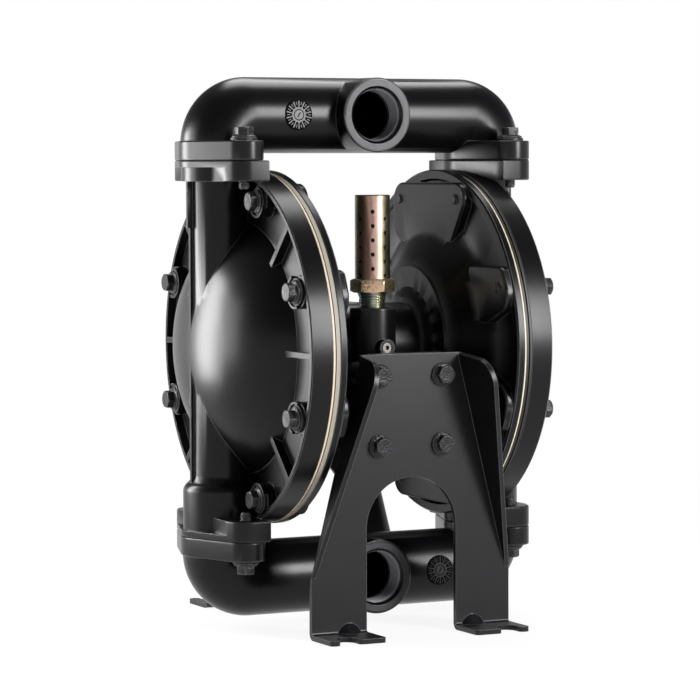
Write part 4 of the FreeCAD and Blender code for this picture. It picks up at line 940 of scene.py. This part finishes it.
@dataclass
class Fasteners:
    """Every visible bolt and washer, one piece for each packed group.

    Lengths are those under the heads, in millimetres. A turn, in degrees, sets each fastener of a group
    further round than the one before it.
    """

    washer_radius: float = 12.2
    washer_bore: float = 5.25
    washer_edge: float = 0.4
    chamber_count: int = 8
    chamber_length: float = 46.5
    chamber_turn: float = 17.0
    side_turn: float = 5.0
    manifold_length: float = 45.6
    manifold_turn: float = 13.0
    foot_length: float = 24.5
    foot_turn: float = 11.0
    foot_x: float = 31.4
    foot_y: float = 115.5
    foot_z: Pair = (168.5, 230.5)
    bolt: FlangeBolt = field(default_factory=FlangeBolt)

    def washer(self, name: str) -> Piece:
        """Plain washer with chamfered edges, lying on z = 0.

        Args:
            name: the piece's name.

        Returns:
            The washer.
        """
        bore, rim, edge = self.washer_bore, self.washer_radius, self.washer_edge
        return lathe(name, [(bore, 0), (rim - edge, 0), (rim, edge), (rim, WASHER - edge),
                            (rim - edge, WASHER), (bore, WASHER)], ORIGIN, UP)

    def group(self, node: str, spots: Sequence[Triple], out: Vector, turn: float,
              length: Optional[float] = None, start: float = 0.0) -> None:
        """Models one fastener, copies it to the seats of a packed group and joins the copies.

        Args:
            node: the group's name.
            spots: the seats, in millimetres.
            out: direction of the heads.
            turn: turn from one fastener to the next.
            length: a bolt's length; without it the group is one of washers.
            start: turn of the first.
        """
        pattern = self.bolt.build("pattern", length) if length else self.washer("pattern")
        tilt = UP.rotation_difference(out).to_matrix().to_4x4()
        copies = []
        for k, spot in enumerate(spots):
            spin = Matrix.Rotation(math.radians(start + turn * k), 4, "Z")
            copies.append(copied(pattern, Matrix.Translation(Vector(spot) * MM) @ tilt @ spin))
        bpy.data.objects.remove(pattern)
        settled(joined(node + "_turned", copies), OXIDE, (node,), angle=30)

    def build(self) -> None:
        """Models and places them all."""
        ring = [2 * math.pi * (k + 0.5) / self.chamber_count for k in range(self.chamber_count)]
        for side, word in ((-1, "left"), (1, "right")):
            for kind, x, length in (("bolts", RIM_X + WASHER, self.chamber_length),
                                    ("washers", RIM_X, None)):
                spots = [(side * x, BOLT_CIRCLE * math.cos(a), ROD_Z + BOLT_CIRCLE * math.sin(a))
                         for a in ring]
                self.group(f"{word}_chamber_{kind}", spots, ALONG_X * side, self.chamber_turn, length,
                           self.side_turn * side)
        for way, word, joint in ((1, "outlet", UPPER_JOINT), (-1, "inlet", LOWER_JOINT)):
            for kind, out, length in (("bolts", MANIFOLD_FLANGE + WASHER, self.manifold_length),
                                      ("washers", MANIFOLD_FLANGE, None)):
                spots = [(sx * PASSAGE_X, sy * MANIFOLD_BOLT_Y, joint + way * out)
                         for sx in (-1, 1) for sy in (-1, 1)]
                self.group(f"{word}_manifold_{kind}", spots, UP * way, self.manifold_turn, length)
        for side, word in ((-1, "front"), (1, "rear")):
            spots = [(x, side * self.foot_y, z) for x in (-self.foot_x, self.foot_x) for z in self.foot_z]
            self.group(word + "_foot_bolts", spots, ALONG_Y * side, self.foot_turn, self.foot_length)


@dataclass
class Port:
    """Machined face, chamfer and cut thread of one pipe port, facing -Y, in millimetres."""

    word: str
    height: float
    face_y: float = -50.7
    outer: float = 31.8
    mouth: float = 26.4
    face_inner: float = 27.0
    bore: float = 23.9
    chamfer: float = 2.5
    pitch: float = 2.309
    depth: float = 1.35
    thread_turns: int = 8
    thread_start: float = 0.6
    proud: float = 0.12
    sunk: float = 0.2
    rim: float = 0.3
    skin: float = 0.1
    chamfer_proud: float = 0.02
    chamfer_edge: float = 0.4
    chamfer_tail: float = 0.8
    steps: Tuple[int, int] = (72, 64)

    def build(self) -> None:
        """Models the face ring, the chamfer and the thread ridge."""
        base = Vector((0, self.face_y, self.height))
        inner, skin, end = self.face_inner, self.skin, self.chamfer + self.chamfer_tail
        round_steps, thread_steps = self.steps
        ring = lathe(self.word + "_port_face", [
            (self.outer, self.sunk), (self.outer - self.rim, -self.proud), (inner, -self.proud),
            (inner + skin, self.sunk)], base, ALONG_Y, round_steps)
        finish = replace(MACHINED, name=self.word + "_" + MACHINED.name, centre=tuple(base))
        settled(ring, finish)
        lead = lathe(self.word + "_port_chamfer", [
            (self.mouth + self.chamfer_edge, self.sunk), (self.mouth - skin, -self.chamfer_proud),
            (self.bore - skin, self.chamfer), (self.bore - skin, end), (self.bore + self.rim, end)],
            base, ALONG_Y, round_steps)
        settled(lead, CASTING)
        thread = HelixThread(self.bore + OVERLAP, self.bore - self.depth, self.pitch, self.thread_turns,
                             thread_steps)
        start = base + ALONG_Y * (self.chamfer + self.thread_start)
        ridge = thread.build(self.word + "_port_thread", start, ALONG_Y)
        settled(ridge, PORT_THREAD, angle=20)


@dataclass
class DateDial:
    """Plain cast dial on the front of a manifold pipe: hub with a pointer, long and short bars.

    A bar is given by its distance from the hub, its distance from the dial's edge and its half widths
    at both ends; the pointer by its two ends and its half width. All are in millimetres.
    """

    name: str
    x: float
    z: float
    face_y: float = -35.25
    radius: float = 13.7
    depth: float = 0.85
    bars: int = 14
    hub: float = 6.9
    groove: Pair = (4.3, 5.1)
    sunk: float = 0.4
    long_bar: Tuple[float, ...] = (-0.3, 1.2, 0.42, 0.6)
    short_bar: Tuple[float, ...] = (1.9, 2.0, 0.25, 0.38)
    pointer: Triple = (-2.6, 2.9, 0.5)
    pointer_turn: float = 35.0
    pointer_lift: float = 0.2
    back: float = 3.0
    steps: int = 64
    faces: Finish = DIAL

    def bar(self, angle: float, inner: float, outer: float, near: float, far: float) -> Piece:
        """One raised bar that points outwards.

        Args:
            angle: its turn round the dial, in radians.
            inner: distance of its near end from the middle.
            outer: distance of its far end.
            near: half width at the near end.
            far: half width at the far end.

        Returns:
            The bar.
        """
        turn = Matrix.Rotation(angle, 4, ALONG_Y)
        base = Vector((self.x, self.face_y, self.z))
        corners = ((-near, 0, inner), (near, 0, inner), (far, 0, outer), (-far, 0, outer))
        outline = [base + turn @ Vector(corner) for corner in corners]
        return prism("bar", outline, ALONG_Y * (self.depth + self.sunk))

    def build(self) -> None:
        """Models the dished floor, the hub with its groove and pointer, and the bars."""
        base = Vector((self.x, self.face_y, self.z))
        edge, low, back, cove = self.radius, self.depth, self.back, 0.3
        floor = lathe(self.name, [(0, back), (edge, back), (edge, low + cove), (edge - cove, low),
                                  (0, low)], base, ALONG_Y, self.steps)
        settled(floor, RECESS)
        near, far = self.groove
        sill, soft, narrow, wide = low + self.sunk, 0.15, 0.1, 0.2
        rim = lathe("rim", [(far, sill), (self.hub, sill), (self.hub, soft), (self.hub - wide, 0),
                            (far + narrow, 0), (far, soft)], base, ALONG_Y, self.steps)
        disc = lathe("disc", [(0, sill), (near, sill), (near, soft), (near - narrow, 0), (0, 0)], base,
                     ALONG_Y, self.steps)
        tail, tip, half = self.pointer
        shaft = self.bar(math.radians(self.pointer_turn), tail, tip, half, half)
        shaft.data.transform(Matrix.Translation(ALONG_Y * -self.pointer_lift * MM))
        pieces = [rim, combined(disc, shaft, Cut.AWAY)]
        for k in range(self.bars):
            for step, (start, gap, inner, outer) in ((0.0, self.long_bar), (0.5, self.short_bar)):
                angle = 2 * math.pi * (k + step) / self.bars
                pieces.append(self.bar(angle, self.hub + start, edge - gap, inner, outer))
        settled(joined(self.name + "_faces", pieces), self.faces)


@dataclass
class Silencer:
    """Exhaust silencer: threaded nipple, hexagon and perforated tube, in millimetres.

    The taper is the share by which the thread narrows for each millimetre of depth.
    """

    y: float = -40.0
    boss_top: float = 288.0
    neck: float = 13.5
    flat: float = 35.5
    hex_height: float = 12.5
    hex_turn: float = 63.5
    thread_radius: float = 13.4
    pitch: float = 2.3
    thread_depth: float = 1.6
    taper: float = 0.016
    thread_top: float = 1.9
    thread_tail: float = 3.0
    bore: float = 9.0
    buried: float = 19.5
    relief: float = 0.8
    relief_start: Pair = (1.6, 0.9)
    relief_sunk: float = 0.1
    tube_turn: float = 45.0
    stretch: float = 1.012

    def hexagon(self) -> Piece:
        """Hexagon with both faces chamfered and a bore.

        Returns:
            The hexagon.
        """
        corner, half, edge = self.flat / math.sqrt(3), self.flat / 2, 0.3
        low, top = self.boss_top + self.neck, self.hex_height
        block = hexagonal("silencer_hexagon", corner, self.y, low, top, self.hex_turn)
        rise, face = (corner - half + edge) * 0.5, half - edge
        crown = lathe("crown", [(self.bore, 0), (face, 0), (corner, rise), (corner, top - rise),
                                (face, top), (self.bore, top)], Vector((0, self.y, low)), UP, 96)
        return eased(combined(block, crown, Cut.SHARED), edge, 25)

    def build(self) -> None:
        """Models the fitting and dresses the tube, turned so that its holes stand as in the photo."""
        base, top = Vector((0, self.y, self.boss_top)), self.neck
        core = self.thread_radius - self.thread_depth
        collar = core + self.relief
        low, high = self.relief_start
        end = top + self.relief_sunk
        neck = lathe("neck", [(self.bore, -self.buried), (core, -self.buried), (core, top - low),
                              (collar, top - high), (collar, end), (self.bore, end)], base, UP)
        turns = int((top + self.thread_tail) / self.pitch)
        thread = HelixThread(core - OVERLAP, self.thread_radius, self.pitch, turns, 48)
        start = base + UP * (top - self.thread_top - turns * self.pitch)
        ridge = thread.build("silencer_thread", start, UP)
        settled(self.hexagon(), HEX_ZINC, ("silencer_fitting",), angle=30)
        stem = joined("silencer_neck", [neck, ridge])
        for vertex in stem.data.vertices:
            drop = self.boss_top + top - vertex.co.z / MM
            narrow = 1.0 - self.taper * min(max(drop, 0.0), top)
            vertex.co.x *= narrow
            vertex.co.y = (vertex.co.y / MM - self.y) * narrow * MM + self.y * MM
        settled(stem, THREAD_ZINC, angle=20)
        tube = casting_copy("silencer_tube", "silencer_shell")
        middle = Matrix.Translation((base + UP * (top + self.hex_height)) * MM)
        turn = Matrix.Rotation(math.radians(self.tube_turn), 4, "Z")
        longer = Matrix.Diagonal((1, 1, self.stretch, 1))
        tube.data.transform(middle @ turn @ longer @ middle.inverted())
        settled(tube, ZINC, ("silencer_tube",))


@dataclass
class Brackets:
    """The two bent sheet foot brackets, in millimetres.

    The run is the direction of a fold line in x and z; edges shorter than the fold length are none.
    """

    nodes: Tuple[str, ...] = ("front_foot_bracket", "rear_foot_bracket")
    sheet: float = 4.5
    plate_y: float = 111.0
    fold_run: Pair = (48.0, -194.8)
    fold_length: float = 100.0
    inner_bend: float = 5.0
    edge: float = 0.7
    corner: float = 8.6
    corner_y: float = 145.0
    corner_z: float = 200.0
    slack: float = 0.05
    aligned: float = 0.999

    def folded(self, piece: Piece, y: float, width: float) -> None:
        """Rounds the fold lines between the plate and its side flanges at one depth.

        Args:
            piece: the bracket.
            y: distance of the lines from the pump's middle, in millimetres.
            width: width of the rounding, in millimetres.
        """
        run = Vector((self.fold_run[0], 0, self.fold_run[1])).normalized()

        def is_fold(first: Vector, second: Vector) -> bool:
            """Whether an edge is one of the fold lines.

            Args:
                first: one end.
                second: the other end.

            Returns:
                True for a fold line.
            """
            span = second - first
            along = Vector((abs(span.x), 0, -abs(span.z))).dot(run)
            near = max(abs(abs(first.y) - y), abs(abs(second.y) - y)) < self.slack
            return near and span.length > self.fold_length and along > self.aligned * span.length

        rounded_where(piece, is_fold, width, 5)

    def cornered(self, piece: Piece) -> None:
        """Rounds the upper outer corners of the side flanges.

        Args:
            piece: the bracket.
        """

        def is_corner(first: Vector, second: Vector) -> bool:
            """Whether an edge crosses the sheet at such a corner.

            Args:
                first: one end.
                second: the other end.

            Returns:
                True for such an edge.
            """
            middle = (first + second) / 2
            across = abs((second - first).length - self.sheet) < self.slack
            return across and abs(middle.y) > self.corner_y and middle.z > self.corner_z

        rounded_where(piece, is_corner, self.corner, 6)

    def build(self) -> None:
        """Copies both brackets, rounds their folds, corners and sheet edges and dresses them."""
        for node in self.nodes:
            flats = (bpy.ops.mesh.dissolve_limited, {"angle_limit": math.radians(0.05)})
            piece = in_edit_mode(casting_copy(node, node + "_sheet"), flats)
            self.cornered(piece)
            self.folded(piece, self.plate_y + self.sheet, self.inner_bend)
            self.folded(piece, self.plate_y, self.inner_bend + self.sheet)
            settled(eased(piece, self.edge, 40), POWDER, (node,), weighted=True)


@dataclass
class PackedParts:
    """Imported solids, most of them hidden, that keep their shape and get a finish."""

    def build(self) -> None:
        """Gives each remaining solid the finish of its material slot."""
        slots = {part["node"]: part["material_slot"] for part in frame["record"]["subparts"]}
        for node, piece in frame["nodes"].items():
            for slot in piece.material_slots:
                slot.material = PALETTE.of(NODE_FINISHES.get(node, SLOT_FINISHES[slots[node]]))


@dataclass(frozen=True)
class SoftBox:
    """A rectangular lamp aimed at the pump: place and size in metres, power in watts."""

    name: str
    spot: Triple
    size: Pair
    watts: float

    def build(self) -> None:
        """Adds the lamp, which the camera doesn't see."""
        bpy.ops.object.light_add(type="AREA", location=self.spot)
        lamp = current(self.name)
        lamp.data.shape = "RECTANGLE"
        lamp.data.size, lamp.data.size_y = self.size
        lamp.data.energy = self.watts
        lamp.visible_camera = False
        aim = Vector((0, 0, ROD_Z * MM)) - Vector(self.spot)
        lamp.rotation_euler = aim.to_track_quat("-Z", "Y").to_euler()


@dataclass
class Studio:
    """Camera, white surroundings and soft lamps.

    Camera lengths are in millimetres and its angles in degrees; the floor is in metres.
    """

    azimuth: float = -26.475
    elevation: float = 3.361
    roll: float = -0.164
    distance: float = 2895.3
    sideways: float = -2.812
    aim_height: float = 247.0
    focal_pixels: float = 3147.1
    frame_pixels: float = 700.0
    sensor: float = 36.0
    floor_size: float = 12.0
    floor_drop: float = 0.0002
    floor_tone: Colour = (0.9, 0.9, 0.9)
    shadow_share: float = 0.10
    fade_rate: float = 2.5
    fade_start: float = 0.4
    wall_rise: float = 0.208
    wall_fade: float = 11.6
    ceiling: Colour = (0.14, 0.14, 0.145)
    lamps: Tuple[SoftBox, ...] = (
        SoftBox("near_strip_left", (-0.47, 0.31, 0.33), (0.17, 0.42), 4.7),
        SoftBox("soft_box_left", (-1.95, 0.95, 0.56), (1.2, 1.2), 30.0),
        SoftBox("soft_box_top", (0.6, 0.95, 2.3), (1.4, 1.5), 50.0),
        SoftBox("soft_box_front", (0.57, -1.2, 0.65), (0.30, 0.62), 23.0))

    def camera(self) -> None:
        """Camera at the photograph's place."""
        az, el, roll = (math.radians(a) for a in (self.azimuth, self.elevation, self.roll))
        back = Vector((math.sin(az) * math.cos(el), -math.cos(az) * math.cos(el), math.sin(el)))
        level = (-back).cross(UP).normalized()
        upright = level.cross(-back)
        right = level * math.cos(roll) + upright * math.sin(roll)
        above = -level * math.sin(roll) + upright * math.cos(roll)
        spot = (Vector((0, 0, self.aim_height)) + right * self.sideways + back * self.distance) * MM
        bpy.ops.object.camera_add()
        camera = current("camera")
        camera.data.sensor_width = self.sensor
        camera.data.lens = self.sensor * self.focal_pixels / self.frame_pixels
        camera.matrix_world = Matrix.Translation(spot) @ Matrix((right, above, back)).transposed().to_4x4()
        bpy.context.scene.camera = camera

    @staticmethod
    def seen_directly(bench: NodeBench) -> Signal:
        """Tells rays from the camera, mirrored and refracted ones from the others.

        Args:
            bench: the floor's node bench.

        Returns:
            1 for such a ray, else 0.
        """
        rays = [bench.node("ShaderNodeLightPath", output=word)
                for word in ("Is Camera Ray", "Is Glossy Ray", "Is Transmission Ray")]
        return (rays[0] + rays[1] + rays[2]).clamped()

    def floor(self) -> None:
        """White floor that keeps the pump's shadow and fades into the backdrop."""
        bpy.ops.object.select_all(action="DESELECT")
        bpy.ops.mesh.primitive_plane_add(size=self.floor_size, location=(0, 0, -self.floor_drop))
        floor = current("floor")
        bench = NodeBench(bpy.data.materials.new("studio_floor"))
        matt = bench.node("ShaderNodeBsdfDiffuse", {}, {"Color": (*self.floor_tone, 1.0)})
        glow = bench.node("ShaderNodeEmission", {}, {"Color": (1.0, 1.0, 1.0, 1.0)})
        reach = bench.vectors("LENGTH", bench.place(), output="Value")
        far = (reach * self.fade_rate - self.fade_rate * self.fade_start).clamped()
        share = self.seen_directly(bench) * (far * self.shadow_share + (1.0 - self.shadow_share))
        mix = bench.node("ShaderNodeMixShader", {}, {0: share, 1: matt, 2: glow})
        floor.data.materials.append(bench.finish(mix))

    def surroundings(self) -> None:
        """World: a white wall all round up to a low height, a grey ceiling over it."""
        world = bpy.data.worlds.new("studio")
        bpy.context.scene.world = world
        bench = NodeBench(world, "World")
        towards = bench.node("ShaderNodeTexCoord", output="Generated")
        rise = bench.node("ShaderNodeSeparateXYZ", {}, {0: towards}, "Z")
        wall = ((self.wall_rise - rise) * self.wall_fade).clamped()
        colour = bench.blend(wall, self.ceiling, (1.0, 1.0, 1.0))
        bench.finish(bench.node("ShaderNodeBackground", {}, {"Color": colour}))

    def build(self) -> None:
        """Sets up the studio."""
        self.camera()
        self.floor()
        self.surroundings()
        for lamp in self.lamps:
            lamp.build()
        bpy.context.scene.view_settings.view_transform = "Standard"


def main() -> None:
    """Builds the pump's looks and the studio."""
    logging.basicConfig(level=logging.INFO, format="%(name)s: %(message)s")
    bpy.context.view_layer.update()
    Studio().build()
    PackedParts().build()
    dials = (DateDial("outlet_date_dial", -71.0, OUTLET_Z),
             DateDial("inlet_date_dial", 71.7, INLET_Z, faces=DULL_DIAL))
    for assembly in (Castings(), Fasteners(), Port("outlet", OUTLET_Z), Port("inlet", INLET_Z), *dials,
                     Silencer(), Brackets()):
        assembly.build()
        LOG.info("%s done", type(assembly).__name__)


if __name__ == "__main__":
    main()
